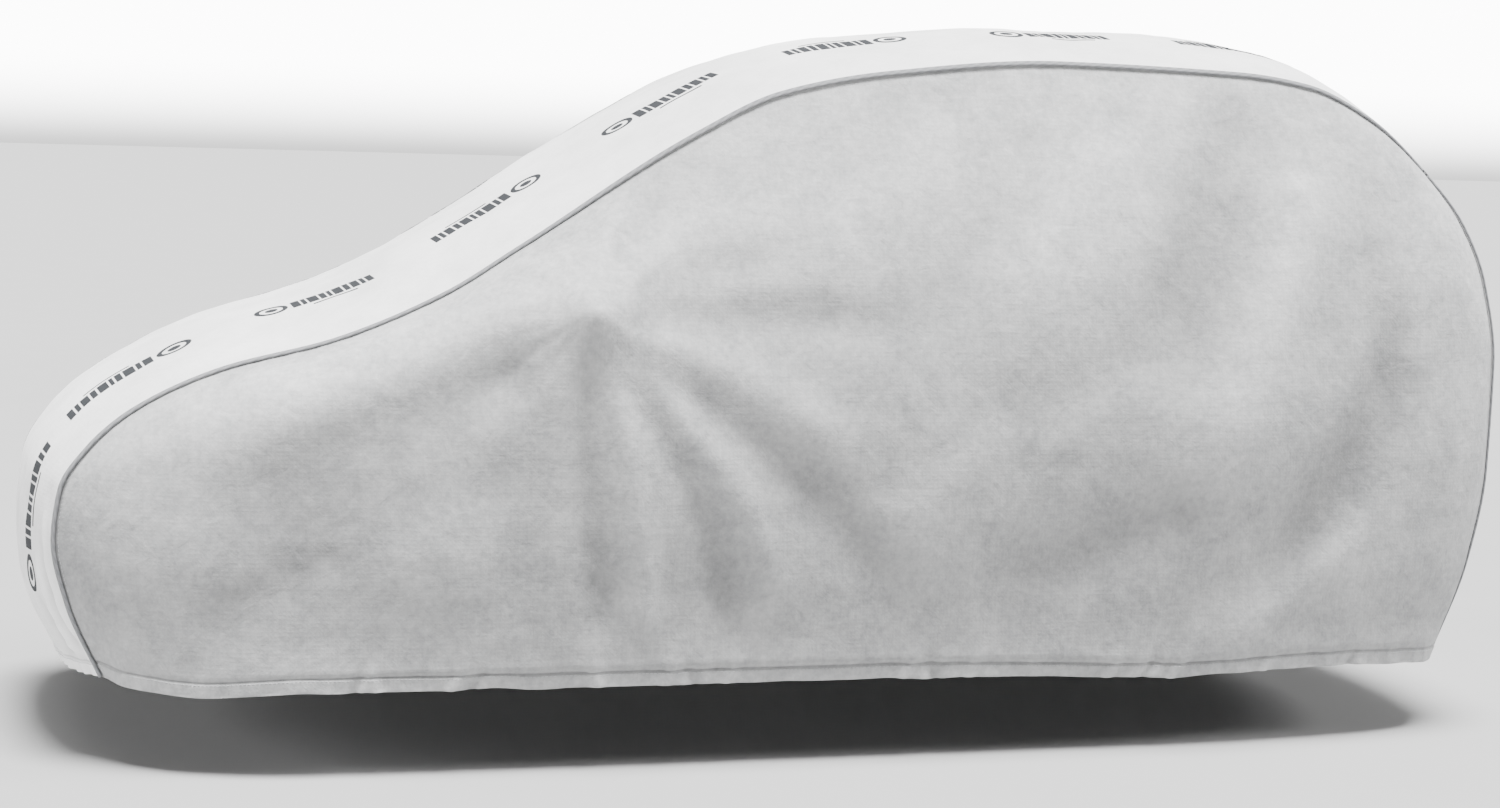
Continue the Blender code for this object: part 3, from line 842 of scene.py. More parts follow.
@dataclass
class SidePanel:
    """One side of the cover, from its seam down to its hem."""

    cutting: Cutting
    mirror_x: float = 1.150
    mirror_z: float = 1.003
    mirror_reach: float = 0.125
    mirror_spread: float = 0.150
    mirror_fall: float = 1.25   # how steeply the tent over the mirror drops
    mirror_blunt: float = 0.03  # how round its tip is, and the square root of that
    mirror_blunt_root: float = 0.173
    smooth_rows: int = 14
    ray_count: int = 26
    ray_height: float = 2.2 * MM
    ray_start: float = 0.10     # the rays grow out to here, then fade over ray_reach
    ray_reach: float = 0.55
    swell_height: float = 5.0 * MM
    swell_pitch: float = 0.42
    crumple_height: float = 0.85 * MM
    crumple_pitch: float = 0.12
    fine_share: float = 0.35
    fine_pitch: float = 0.045
    hold: float = 0.09          # the seam holds the cloth flat within this distance
    pucker_height: float = 3.4 * MM
    pucker_pitch: float = 0.055
    pucker_reach: float = 0.045
    gather_height: float = 7.0 * MM
    gather_width: float = 0.011
    seam_pucker: float = 0.7 * MM
    hem_drop: float = 2.4 * MM
    drop_pitch: float = 0.16
    drop_reach: float = 0.05
    fold_gain: float = 1.7
    full_fold: float = 24.0 * MM
    low_tone: float = 0.80      # painted shade low down on the side, in units of a full fold
    low_from: float = 0.15
    low_span: float = 0.42
    seed: int = 11

    def base(self) -> tuple[np.ndarray, np.ndarray, np.ndarray]:
        """Lay the panel smooth between its seam and its hem, tented over the mirror.

        Returns:
            The outer points, the row share of each and the length of every fall.
        """
        cut, seam = self.cutting, self.cutting.seam
        s = np.linspace(0.0, 1.0, cut.top_cells + 1)
        top = seam.points(seam.front_end + s * (seam.top_end - seam.front_end))
        shares = [h.share for h in HEM]
        foot = np.stack([ease(shares, [getattr(h, n) for h in HEM], s)
                         for n in ("x", "half", "z")], -1)
        foot[:, 1] *= -1.0
        fall = np.linalg.norm(top - foot, axis=1)
        fall[0], fall[-1] = seam.front_end, seam.end - seam.top_end
        u = np.stack([cut.fall_shares(f) for f in fall], 1)
        b = np.broadcast_to(s, u.shape)[..., None]
        a = u[..., None]
        left = seam.points(seam.front_end * (1.0 - u))
        right = seam.points(seam.top_end + u * (seam.end - seam.top_end))
        corner = ((1 - a) * ((1 - b) * top[0] + b * top[-1])
                  + a * ((1 - b) * foot[0] + b * foot[-1]))
        grid = (1 - a) * top[None] + a * foot[None] + (1 - b) * left + b * right - corner
        inside = (np.clip(u * (1 - u) * 12.0, 0, 1)
                  * np.clip(s * (1 - s) * 18.0, 0, 1)[None, :])
        reach = np.hypot(grid[..., 0] - self.mirror_x, grid[..., 2] - self.mirror_z)
        tent = self.mirror_reach * np.exp(
            -self.mirror_fall * (np.sqrt((reach / self.mirror_spread) ** 2 + self.mirror_blunt)
                                 - self.mirror_blunt_root))
        grid[..., 1] -= self.fullness(s, u) + tent * inside
        return grid, u, fall

    def fullness(self, s: np.ndarray, u: np.ndarray) -> np.ndarray:
        """How far the cloth stands out past a straight fall.

        Args:
            s: column shares along the panel.
            u: row shares down it, rows by columns.

        Returns:
            The distance at every point of the grid.
        """
        shares = [f.share for f in FULLNESS]
        levels = [ease(shares, [getattr(f, n) for f in FULLNESS], s)
                  for n in ("shoulder", "waist", "middle", "sill")]
        zero = np.zeros_like(s)
        table = np.stack([zero, *levels, zero], 0)
        full = np.stack([ease(FULLNESS_LEVELS, table[:, c], u[:, c]) for c in range(len(s))], 1)
        # an averaging pass down each fall, so that the table's rows leave no line in the cloth
        reach = self.smooth_rows
        ahead, behind = -full[reach:0:-1], -full[-2:-reach - 2:-1]
        rows = np.concatenate([ahead, full, behind])
        kernel = np.hanning(2 * reach + 3)[1:-1]
        kernel /= kernel.sum()
        return np.stack([np.convolve(rows[:, c], kernel, "valid") for c in range(len(s))], 1)

    def relief(self, grid: np.ndarray, u: np.ndarray, fall: np.ndarray) -> np.ndarray:
        """Height of the folds, rays, gathers and crumples over the smooth surface.

        Args:
            grid: the smooth outer points.
            u: row share of each.
            fall: length of every fall.

        Returns:
            The height at every point.
        """
        x, z = grid[..., 0], grid[..., 2]
        out = np.zeros(x.shape)
        for crease in SIDE_CREASES:
            out += self.fold_gain * crease_height(crease, x, z)
        dx, dz = x - self.mirror_x, z - self.mirror_z
        far = np.hypot(dx, dz)
        turn = np.arctan2(dz, dx)
        draw = np.random.default_rng(self.seed)
        rays = np.zeros(x.shape)
        for count in range(3, self.ray_count):
            rays += np.sin(count * turn + draw.uniform(0, 2 * math.pi)) / math.sqrt(count)
        out += self.ray_height * rays * fade(far / self.ray_start) * np.exp(
            -far / self.ray_reach) * 0.6
        out += self.swell_height * ripple(x * 0.8, z, self.swell_pitch, self.seed + 1)
        out += self.crumple_height * ripple(x, z, self.crumple_pitch, self.seed + 2)
        out += self.fine_share * self.crumple_height * ripple(x, z, self.fine_pitch,
                                                              self.seed + 3)
        # toward the seam the cloth is held flat
        depth = u * fall[None, :]
        columns = np.linspace(0.0, 1.0, x.shape[1])[None, :]
        inset = np.minimum(columns, 1.0 - columns) * (self.cutting.seam.top_end
                                                      - self.cutting.seam.front_end)
        out *= fade(depth / self.hold) * fade(inset / self.hold)
        near_seam = np.exp(-np.minimum(depth, inset) / 0.022) * fade(
            np.minimum(depth, inset) / 0.006)
        out += self.seam_pucker * near_seam * ripple(x * 3.0, z * 3.0, 0.10, self.seed + 4)
        return out + self.hem_relief(x, z, u, fall)

    def hem_relief(self, x: np.ndarray, z: np.ndarray, u: np.ndarray, fall: np.ndarray
                   ) -> np.ndarray:
        """Height of the turned hem, its stitch groove and the gathers above it.

        Args:
            x: place of every point along the car.
            z: its height from the ground.
            u: its row share.
            fall: length of every fall.

        Returns:
            The height at every point.
        """
        up = (1.0 - u) * fall[None, :]
        cut = self.cutting
        out = cut.hem_proud * cut.band(up) - cut.hem_groove * cut.groove(up)
        gather = np.zeros(x.shape)
        for k, (foot_x, lean, rise) in enumerate(HEM_GATHERS):
            centre = foot_x + lean * (up / rise)
            width = self.gather_width + 0.10 * up
            sign = 1.0 if k % 3 else -1.0
            gather += sign * np.exp(-((x - centre) / width) ** 2) * np.exp(-(up / rise) ** 1.5)
        out += self.gather_height * gather
        wave = ripple(x, np.zeros_like(x), self.pucker_pitch, self.seed + 5)
        strong = 0.45 + 0.55 * fade(ripple(x, np.zeros_like(x), 0.5, self.seed + 6) + 0.5)
        return out + self.pucker_height * wave * strong * np.exp(
            -up / self.pucker_reach) * np.clip(up / 0.004, 0.35, 1.0)

    def build(self, side: Side, material: bpy.types.Material
              ) -> tuple[bpy.types.Object, np.ndarray, np.ndarray]:
        """Build the panel.

        Args:
            side: which side of the car it is sewn for.
            material: its cloth.

        Returns:
            The object, its outer grid and the grid's outward normals.
        """
        cut = self.cutting
        grid, u, fall = self.base()
        normal = self.leftward(grid)
        edge_fade = np.ones(u.shape)
        edge_fade[0], edge_fade[:, 0], edge_fade[:, -1] = 0.0, 0.0, 0.0
        height = self.relief(grid, u, fall) * edge_fade
        # painted shade and highlight: the folds' height, less a painted darkening low down on the
        # side
        lie = np.clip(height / self.full_fold - self.low_tone * fade((u - self.low_from)
                                                                      / self.low_span),
                      PAINTED_SHADE_LOW, PAINTED_SHADE_HIGH)
        grid = grid + normal * height[..., None]
        wave = ripple(grid[..., 0], np.zeros_like(u), self.drop_pitch, self.seed + 7)
        ends = fade(np.minimum(np.linspace(0, 1, u.shape[1]), np.linspace(1, 0, u.shape[1]))
                    / 0.05)[None, :]
        grid[..., 2] += self.hem_drop * wave * ends * np.exp(
            -(1.0 - u) * fall[None, :] / self.drop_reach)
        normal = self.leftward(grid)
        up = (1.0 - u) * fall[None, :]
        thick = cut.thickness(up)
        toward = self.inward(grid)
        grid = grid + toward * cut.seam_gap
        inner = grid - normal * thick[..., None]
        flat = self.flat_places(grid)
        if side is Side.RIGHT:
            grid, inner, normal = grid * MIRRORED, inner * MIRRORED, normal * MIRRORED
        name = f"{side.word}_side_cloth"
        mesh = sheet_mesh(name, grid, inner, flat, cut.band(up) - cut.groove(up), lie)
        return link_object(name, mesh, material), grid, normal

    @staticmethod
    def leftward(grid: np.ndarray) -> np.ndarray:
        """Normals of the left side's grid, facing away from the car."""
        normal = grid_normals(grid)
        return np.where(normal[..., 1:2] > 0, -normal, normal)

    @staticmethod
    def inward(grid: np.ndarray) -> np.ndarray:
        """Directions that draw the seam edges in from the seam line.

        Args:
            grid: outer points of the panel.

        Returns:
            A unit direction at each point of the seam edges, and 0 elsewhere.
        """
        out = np.zeros(grid.shape)
        out[0] = unit(grid[1] - grid[0])
        out[:, 0] = unit(grid[:, 1] - grid[:, 0])
        out[:, -1] = unit(grid[:, -2] - grid[:, -1])
        out[0, 0], out[0, -1] = unit(grid[1, 1] - grid[0, 0]), unit(grid[1, -2] - grid[0, -1])
        out[-1] = 0.0
        out[-1, 0] = unit(grid[-1, 1] - grid[-1, 0])
        out[-1, -1] = unit(grid[-1, -2] - grid[-1, -1])
        return out

    @staticmethod
    def flat_places(grid: np.ndarray) -> np.ndarray:
        """Flat position of every point on the cut cloth, in UV units."""
        start = np.array([UV_START, UV_SIDE])
        return np.stack([grid[..., 0], grid[..., 2]], -1) / UV_METRES + start


@dataclass
class CentrePanel:
    """The strip over the bonnet, roof and tail."""

    cutting: Cutting
    full_fold: float = 11.0 * MM
    swell_height: float = 2.2 * MM
    crumple_height: float = 0.8 * MM
    seam_pucker: float = 0.8 * MM
    seed: int = 71

    def build(self, material: bpy.types.Material) -> tuple[bpy.types.Object, dict[str, Any]]:
        """Build the panel.

        Args:
            material: its cloth.

        Returns:
            The object, and its grid, normals and runs by name.
        """
        cut, seam = self.cutting, self.cutting.seam
        runs = cut.runs()
        edge = seam.points(runs)
        crown = seam.value("crown", runs)
        along = unit(np.gradient(edge[:, [0, 2]], axis=0))
        proud = np.stack([-along[:, 1], np.zeros(len(runs)), along[:, 0]], 1)
        v = np.linspace(-1.0, 1.0, cut.across_cells + 1)
        lift = 1.0 - np.abs(v) ** cut.crown_power
        grid = np.zeros((len(runs), len(v), 3))
        grid[..., 0] = edge[:, 0, None]
        grid[..., 1] = -edge[:, 1, None] * v[None, :]
        grid[..., 2] = edge[:, 2, None]
        grid += proud[:, None, :] * (crown[:, None] * lift[None, :])[..., None]
        normal = self.outward(grid)
        widths = np.linalg.norm(np.diff(grid, axis=1), axis=2)
        offset = np.concatenate([np.zeros((len(runs), 1)), np.cumsum(widths, 1)], 1)
        offset -= offset[:, [-1]] / 2.0
        run = np.broadcast_to(runs[:, None], offset.shape)
        height = self.relief(run, offset, v)
        # painted shade and highlight over the strip's folds
        lie = np.clip(height / self.full_fold, PAINTED_SHADE_LOW, PAINTED_SHADE_HIGH)
        grid = grid + normal * height[..., None]
        normal = self.outward(grid)
        ends = np.minimum(run, seam.end - run)
        thick = cut.thickness(ends)
        grid[:, 0] += unit(grid[:, 1] - grid[:, 0]) * cut.seam_gap
        grid[:, -1] += unit(grid[:, -2] - grid[:, -1]) * cut.seam_gap
        inner = grid - normal * thick[..., None]
        flat = np.stack([run, offset], -1) / UV_METRES + np.array([UV_START, UV_CENTRE])
        name = "centre_cloth"
        doubled = cut.band(ends) - cut.groove(ends)
        mesh = sheet_mesh(name, grid, inner, flat, doubled, lie)
        thing = link_object(name, mesh, material)
        return thing, {"grid": grid, "normal": normal, "runs": runs}

    @staticmethod
    def outward(grid: np.ndarray) -> np.ndarray:
        """Outward normals of the strip.

        Args:
            grid: its points.

        Returns:
            A unit normal at every point.
        """
        normal = grid_normals(grid)
        flip = np.sum(normal * (grid - INSIDE), -1, keepdims=True) < 0
        return np.where(flip, -normal, normal)

    def relief(self, run: np.ndarray, offset: np.ndarray, v: np.ndarray) -> np.ndarray:
        """Height of the creases, swell and hem over the smooth crown.

        Args:
            run: how far along the seam each point is.
            offset: its distance from the middle, over the crown.
            v: column shares, -1 to 1.

        Returns:
            The height at every point.
        """
        out = np.zeros(run.shape)
        for crease in CENTRE_CREASES:
            out += crease_height(crease, run, offset)
        out += self.swell_height * ripple(run, offset, 0.38, self.seed)
        out += self.crumple_height * ripple(run, offset, 0.11, self.seed + 1)
        inset = (1.0 - np.abs(v))[None, :] * 0.55
        out *= fade(inset / 0.07)
        near = np.exp(-inset / 0.02) * fade(inset / 0.006)
        out += self.seam_pucker * near * ripple(run * 3.0, offset * 3.0, 0.10, self.seed + 2)
        ends = np.minimum(run, self.cutting.seam.end - run)
        cut = self.cutting
        hem = cut.hem_proud * cut.band(ends) - cut.hem_groove * cut.groove(ends)
        wave = ripple(offset, np.zeros_like(offset), 0.06, self.seed + 3)
        hem += 2.4 * MM * wave * np.exp(-ends / 0.05)
        return out + hem * fade(inset / 0.02)


@dataclass
class SeamBinding:
    """The tape sewn over one seam, hem to hem: a flat rounded strip."""

    cutting: Cutting
    half_width: float = 7.2 * MM
    half_height: float = 3.0 * MM
    lift: float = 0.5 * MM
    sides: int = 14
    squareness: float = 0.75
    smooth_rows: int = 4

    def frames(self, side_grid: np.ndarray, centre_grid: np.ndarray
               ) -> tuple[np.ndarray, np.ndarray, np.ndarray]:
        """Find how the tape lies along the left seam.

        Args:
            side_grid: outer points of the left panel.
            centre_grid: outer points of the centre panel.

        Returns:
            Seam points, outward directions and directions across the seam.
        """
        edge = self.cutting.seam.points(self.cutting.runs())
        rows, cols = side_grid.shape[:2]
        step = 3
        ring = ([(r, 0) for r in range(rows - 1, 0, -1)] + [(0, c) for c in range(cols)]
                + [(r, cols - 1) for r in range(1, rows)])
        inward = np.array([side_grid[max(r, step) if 0 < c < cols - 1 else r,
                                     min(max(c, step), cols - 1 - step)] for r, c in ring])
        along = unit(np.gradient(edge, axis=0))
        to_side, to_centre = unit(inward - edge), unit(centre_grid[:, step] - edge)
        out = unit(unit(np.cross(along, to_side)) + unit(np.cross(to_centre, along)))
        away = np.sum(out * (edge - INSIDE), 1, keepdims=True)
        out = np.where(away < 0, -out, out)
        kernel = np.ones(2 * self.smooth_rows + 1) / (2 * self.smooth_rows + 1.0)
        padded = np.pad(out, ((self.smooth_rows, self.smooth_rows), (0, 0)), mode="edge")
        out = np.stack([np.convolve(padded[:, k], kernel, "valid") for k in range(3)], 1)
        out = unit(out - along * np.sum(out * along, 1, keepdims=True))
        across = unit(np.cross(along, out))
        across = np.where(np.sum(across * to_side, 1, keepdims=True) < 0, -across, across)
        return edge, out, across

    def build(self, side: Side, frames: tuple[np.ndarray, np.ndarray, np.ndarray],
              material: bpy.types.Material) -> bpy.types.Object:
        """Build the tape for one side.

        Args:
            side: which seam it covers.
            frames: what `frames` returned.
            material: its tape.

        Returns:
            The object.
        """
        edge, out, across = frames
        turn = 2 * math.pi * (np.arange(self.sides) + 0.5) / self.sides
        wide, high = np.sin(turn), np.cos(turn)
        wide = np.sign(wide) * np.abs(wide) ** self.squareness
        high = np.sign(high) * np.abs(high) ** self.squareness
        middle = edge + out * (self.half_height + self.lift)
        tube = (middle[:, None] + across[:, None] * (self.half_width * wide)[None, :, None]
                + out[:, None] * (self.half_height * high)[None, :, None])
        if side is Side.RIGHT:
            tube = tube * MIRRORED
        n, count = self.sides, len(edge)
        faces, uv = [], []
        runs = self.cutting.runs() / UV_METRES
        girth = np.arange(n + 1) / n * 2 * math.pi * self.half_width / UV_METRES
        for k in range(count - 1):
            for j in range(n):
                a, b = k * n + j, k * n + (j + 1) % n
                face = (a, b, b + n, a + n)
                spots = ((runs[k], girth[j]), (runs[k], girth[j + 1]),
                         (runs[k + 1], girth[j + 1]), (runs[k + 1], girth[j]))
                if side is Side.LEFT:
                    face, spots = face[::-1], spots[::-1]
                faces.append(face)
                uv.extend(spots)
        last = (count - 1) * n
        caps = [tuple(range(n)), tuple(last + j for j in reversed(range(n)))]
        if side is Side.RIGHT:
            caps = [c[::-1] for c in caps]
        for cap in caps:
            faces.append(cap)
            uv.extend([(0.0, 0.0)] * n)
        mesh = mesh_from(f"{side.word}_seam_tape", tube.reshape(-1, 3), faces, np.array(uv))
        return link_object(f"{side.word}_seam_tape", mesh, material)


def socket_id(tree: bpy.types.NodeTree, name: str) -> str:
    """Identifier of a node group's input socket."""
    return next(s.identifier for s in tree.interface.items_tree
                if s.item_type == "SOCKET" and s.in_out == "INPUT" and s.name == name)


def run_nodes(name: str, mesh: bpy.types.Mesh, tree: bpy.types.NodeTree,
              inputs: dict[str, Any]) -> bpy.types.Object:
    """Run a geometry node tree on a mesh and keep the result as a plain mesh object.

    Args:
        name: name of the finished object.
        mesh: what the tree is given.
        tree: the tree.
        inputs: input name to value.

    Returns:
        The finished object.
    """
    carrier = into_scene(name + "_carrier", mesh)
    modifier = carrier.modifiers.new("nodes", "NODES")
    modifier.node_group = tree
    for key, value in inputs.items():
        modifier[socket_id(tree, key)] = value
    bpy.context.view_layer.update()
    shape = bpy.data.meshes.new_from_object(
        carrier.evaluated_get(bpy.context.evaluated_depsgraph_get()))
    shape.name = name
    bpy.data.objects.remove(carrier, do_unlink=True)
    finish = next(m for m in shape.materials if m is not None)
    shape.polygons.foreach_set("material_index", np.zeros(len(shape.polygons), np.int32))
    return link_object(name, shape, finish)


def open_group(name: str, inputs: dict[str, str], output: str) -> bpy.types.NodeTree:
    """Start a geometry node tree with named inputs and one geometry output.

    Args:
        name: name of the tree.
        inputs: input name to its socket kind, such as "Float".
        output: name of the output.

    Returns:
        The tree, with no nodes yet.
    """
    tree = bpy.data.node_groups.new(name, "GeometryNodeTree")
    for label, kind in inputs.items():
        tree.interface.new_socket(label, in_out="INPUT", socket_type=f"NodeSocket{kind}")
    tree.interface.new_socket(output, in_out="OUTPUT", socket_type="NodeSocketGeometry")
    return tree


@dataclass
class StitchRows:
    """Rows of lock stitches, one short thread at every point of a guide."""

    pitch: float = 9.0 * MM     # really about 4 mm: drawn coarse enough to show
    length: float = 6.2 * MM
    thread: float = 0.55 * MM

    def tree(self) -> bpy.types.NodeTree:
        """Node tree that lays one stitch at each guide point.

        Returns:
            The tree.
        """
        tree = open_group("lay_stitches", {
            "Guide": "Geometry", "Stitch Length": "Float", "Thread Radius": "Float",
            "Thread": "Material"}, "Stitches")
        given = add_node(tree, "NodeGroupInput")
        along = add_node(tree, "GeometryNodeInputNamedAttribute", {"data_type": "FLOAT_VECTOR"},
                         {"Name": "along"})
        out = add_node(tree, "GeometryNodeInputNamedAttribute", {"data_type": "FLOAT_VECTOR"},
                       {"Name": "out"})
        first = add_node(tree, "FunctionNodeAlignRotationToVector", {"axis": "Z"},
                         {"Vector": along.outputs["Attribute"]})
        turned = add_node(tree, "FunctionNodeAlignRotationToVector",
                          {"axis": "X", "pivot_axis": "Z"},
                          {"Rotation": first.outputs[0], "Vector": out.outputs["Attribute"]})
        body = add_node(tree, "GeometryNodeMeshCylinder", {"fill_type": "TRIANGLE_FAN"}, {
            "Vertices": 6, "Side Segments": 3, "Radius": given.outputs["Thread Radius"],
            "Depth": given.outputs["Stitch Length"]})
        place = add_node(tree, "GeometryNodeInputPosition")
        split = add_node(tree, "ShaderNodeSeparateXYZ", inputs={0: place.outputs[0]})
        share = add_node(tree, "ShaderNodeMath", {"operation": "DIVIDE"}, {
            0: split.outputs["Z"], 1: given.outputs["Stitch Length"]})
        square = add_node(tree, "ShaderNodeMath", {"operation": "MULTIPLY"}, {
            0: share.outputs[0], 1: share.outputs[0]})
        sink = add_node(tree, "ShaderNodeMath", {"operation": "MULTIPLY"}, {
            0: square.outputs[0], 1: -4.0})
        drop = add_node(tree, "ShaderNodeMath", {"operation": "MULTIPLY"}, {
            0: sink.outputs[0], 1: given.outputs["Thread Radius"]})
        shift = add_node(tree, "ShaderNodeCombineXYZ", inputs={"X": drop.outputs[0]})
        bent = add_node(tree, "GeometryNodeSetPosition", inputs={
            "Geometry": body.outputs["Mesh"], "Offset": shift.outputs[0]})
        laid = add_node(tree, "GeometryNodeInstanceOnPoints", inputs={
            "Points": given.outputs["Guide"], "Instance": bent.outputs[0],
            "Rotation": turned.outputs[0]})
        real = add_node(tree, "GeometryNodeRealizeInstances", inputs={0: laid.outputs[0]})
        dyed = add_node(tree, "GeometryNodeSetMaterial", inputs={
            "Geometry": real.outputs[0], "Material": given.outputs["Thread"]})
        add_node(tree, "NodeGroupOutput", inputs={"Stitches": dyed.outputs[0]})
        return tree

    def guide(self, lines: Sequence[tuple[np.ndarray, np.ndarray]]) -> bpy.types.Mesh:
        """Loose guide points along lines on the cloth.

        Args:
            lines: for each row, its points and the outward normals there.

        Returns:
            A mesh of points with the directions along and out of the cloth.
        """
        spots, runs, outs = [], [], []
        for points, normals in lines:
            steps = np.linalg.norm(np.diff(points, axis=0), axis=1)
            run = np.concatenate([[0.0], np.cumsum(steps)])
            at = np.arange(self.pitch, run[-1] - self.pitch, self.pitch)
            place = np.stack([np.interp(at, run, points[:, k]) for k in range(3)], 1)
            out = unit(np.stack([np.interp(at, run, normals[:, k]) for k in range(3)], 1))
            spots.append(place + out * self.thread * 0.9 - ROOF_REST)
            runs.append(unit(np.gradient(place, axis=0)))
            outs.append(out)
        mesh = bpy.data.meshes.new("stitch_guide")
        mesh.from_pydata(np.concatenate(spots).tolist(), [], [])
        for name, rows in (("along", runs), ("out", outs)):
            layer = mesh.attributes.new(name, "FLOAT_VECTOR", "POINT")
            layer.data.foreach_set("vector", np.concatenate(rows).astype(np.float32).ravel())
        return mesh

    def build(self, name: str, lines: Sequence[tuple[np.ndarray, np.ndarray]],
              tree: bpy.types.NodeTree, material: bpy.types.Material) -> bpy.types.Object:
        """Lay the stitches of one piece."""
        return run_nodes(name, self.guide(lines), tree, {
            "Stitch Length": self.length, "Thread Radius": self.thread, "Thread": material})


@dataclass
class PrintedMarks:
    """The marks printed on the centre panel: a ring and dot, broken bars and a thin line."""

    ring: float = 40.0 * MM
    ring_band: float = 12.0 * MM
    dot: float = 15.0 * MM
    bars_mm: tuple[float, ...] = (21.0, 11.0, 25.0, 15.0, 9.0, 22.0, 13.0, 19.0, 10.0, 16.0)
    bar_gap: float = 5.0 * MM
    bar_height: float = 62.0 * MM
    line_length: float = 110.0 * MM
    line_height: float = 7.0 * MM
    line_drop: float = 49.0 * MM
    cell: float = 6.0 * MM      # the mark bends with the cloth at this spacing
    ink: float = 0.55 * MM
    sunk: float = 0.35 * MM
    # run along the seam and distance from the middle, for each pair of marks
    places: tuple[tuple[float, float], ...] = (
        (0.330, 0.270), (0.690, 0.260), (1.130, 0.235), (1.600, 0.225), (2.065, 0.235),
        (2.520, 0.265), (3.020, 0.280), (3.500, 0.285), (3.980, 0.280), (4.450, 0.275),
        (4.900, 0.270))

    def mark(self) -> bpy.types.Mesh:
        """One flat mark, lying in x and y, with a little thickness.

        Returns:
            Its mesh.
        """
        points: list[tuple[float, float, float]] = []
        faces: list[tuple[int, ...]] = []

        def patch(grid: np.ndarray, closed: bool) -> None:
            """Add a thin closed slab.

            Args:
                grid: its flat places, rows by columns by 2.
                closed: whether the last column joins the first.
            """
            rows, cols = grid.shape[:2]
            start, size = len(points), rows * cols
            for height in (self.ink, -self.sunk):
                points.extend((float(p[0]), float(p[1]), height) for p in grid.reshape(-1, 2))
            wrap = cols if closed else cols - 1
            for r in range(rows - 1):
                for c in range(wrap):
                    d = (c + 1) % cols
                    a, b = start + r * cols + c, start + r * cols + d
                    e, f = b + cols, a + cols
                    faces.append((a, b, e, f))
                    faces.append((f + size, e + size, b + size, a + size))
            for r, flip in ((0, True), (rows - 1, False)):
                for c in range(wrap):
                    d = (c + 1) % cols
                    a, b = start + r * cols + c, start + r * cols + d
                    wall = (a, b, b + size, a + size)
                    faces.append(wall[::-1] if flip else wall)
            if not closed:
                for c, flip in ((0, False), (cols - 1, True)):
                    for r in range(rows - 1):
                        a, b = start + r * cols + c, start + (r + 1) * cols + c
                        wall = (a, b, b + size, a + size)
                        faces.append(wall[::-1] if flip else wall)

        def bar(x: float, y: float, length: float, height: float) -> None:
            """Add one bar.

            Args:
                x: its left end.
                y: its middle height.
                length: its size along x.
                height: its size along y.
            """
            across, up = (max(1, math.ceil(size / self.cell)) for size in (length, height))
            xs = np.linspace(x, x + length, across + 1)
            ys = np.linspace(y - height / 2, y + height / 2, up + 1)
            grid = np.stack(np.meshgrid(xs, ys, indexing="xy"), -1)
            patch(grid[:, ::-1], False)

        def round_band(x: float, inner: float, outer: float) -> None:
            """Add a ring round a centre on the bars' line.

            Args:
                x: the centre.
                inner: its inner radius.
                outer: its outer radius.
            """
            turn = np.linspace(0, 2 * math.pi, 33)[:-1]
            radii = np.linspace(inner, outer, 1 + math.ceil((outer - inner) / self.cell))
            grid = np.stack([x + radii[:, None] * np.cos(turn),
                             radii[:, None] * np.sin(turn)], -1)
            patch(grid, True)

        total = sum(self.bars_mm) * MM + self.bar_gap * (len(self.bars_mm) - 1)
        left = -(total + 2 * self.ring + 2 * self.bar_gap) / 2
        round_band(left + self.ring, self.ring - self.ring_band, self.ring)
        round_band(left + self.ring, 0.6 * MM, self.dot)
        x = left + 2 * self.ring + 2 * self.bar_gap
        bar(x + total / 2 - self.line_length / 2, -self.line_drop, self.line_length,
            self.line_height)
        for width in self.bars_mm:
            bar(x, 0.0, width * MM, self.bar_height)
            x += width * MM + self.bar_gap
        mesh = bpy.data.meshes.new("flat_mark")
        mesh.from_pydata(points, [], faces)
        return mesh

    def tree(self) -> bpy.types.NodeTree:
        """Node tree that repeats the mark along the strip and lays it on the cloth.

        Returns:
            The tree.
        """
        tree = open_group("print_marks", {
            "Places": "Geometry", "Mark": "Object", "Cloth": "Object",
            "Metres per UV": "Float", "Ink": "Material"}, "Marks")
        given = add_node(tree, "NodeGroupInput")
        mark = add_node(tree, "GeometryNodeObjectInfo", inputs={
            "Object": given.outputs["Mark"]})
        cloth = add_node(tree, "GeometryNodeObjectInfo", inputs={
            "Object": given.outputs["Cloth"]})
        turn = add_node(tree, "GeometryNodeInputNamedAttribute", {"data_type": "FLOAT"},
                        {"Name": "turn"})
        spin = add_node(tree, "ShaderNodeCombineXYZ", inputs={"Z": turn.outputs["Attribute"]})
        laid = add_node(tree, "GeometryNodeInstanceOnPoints", inputs={
            "Points": given.outputs["Places"], "Instance": mark.outputs["Geometry"],
            "Rotation": spin.outputs[0]})
        real = add_node(tree, "GeometryNodeRealizeInstances", inputs={0: laid.outputs[0]})
        place = add_node(tree, "GeometryNodeInputPosition")
        split = add_node(tree, "ShaderNodeSeparateXYZ", inputs={0: place.outputs[0]})
        scaled = add_node(tree, "ShaderNodeVectorMath", {"operation": "DIVIDE"}, {
            0: place.outputs[0]})
        metres = add_node(tree, "ShaderNodeCombineXYZ", inputs={
            "X": given.outputs["Metres per UV"], "Y": given.outputs["Metres per UV"], "Z": 1.0})
        tree.links.new(metres.outputs[0], scaled.inputs[1])
        spot = add_node(tree, "ShaderNodeVectorMath", {"operation": "ADD"}, {
            0: scaled.outputs[0], 1: (UV_START, UV_CENTRE, 0.0)})
        uv = add_node(tree, "GeometryNodeInputNamedAttribute", {"data_type": "FLOAT_VECTOR"},
                      {"Name": CLOTH_UV})
        there = [add_node(tree, "GeometryNodeSampleUVSurface", {"data_type": "FLOAT_VECTOR"}, {
            "Mesh": cloth.outputs["Geometry"], "Value": value.outputs[0],
            "UV Map": uv.outputs["Attribute"], "Sample UV": spot.outputs[0]})
            for value in (place, add_node(tree, "GeometryNodeInputNormal"))]
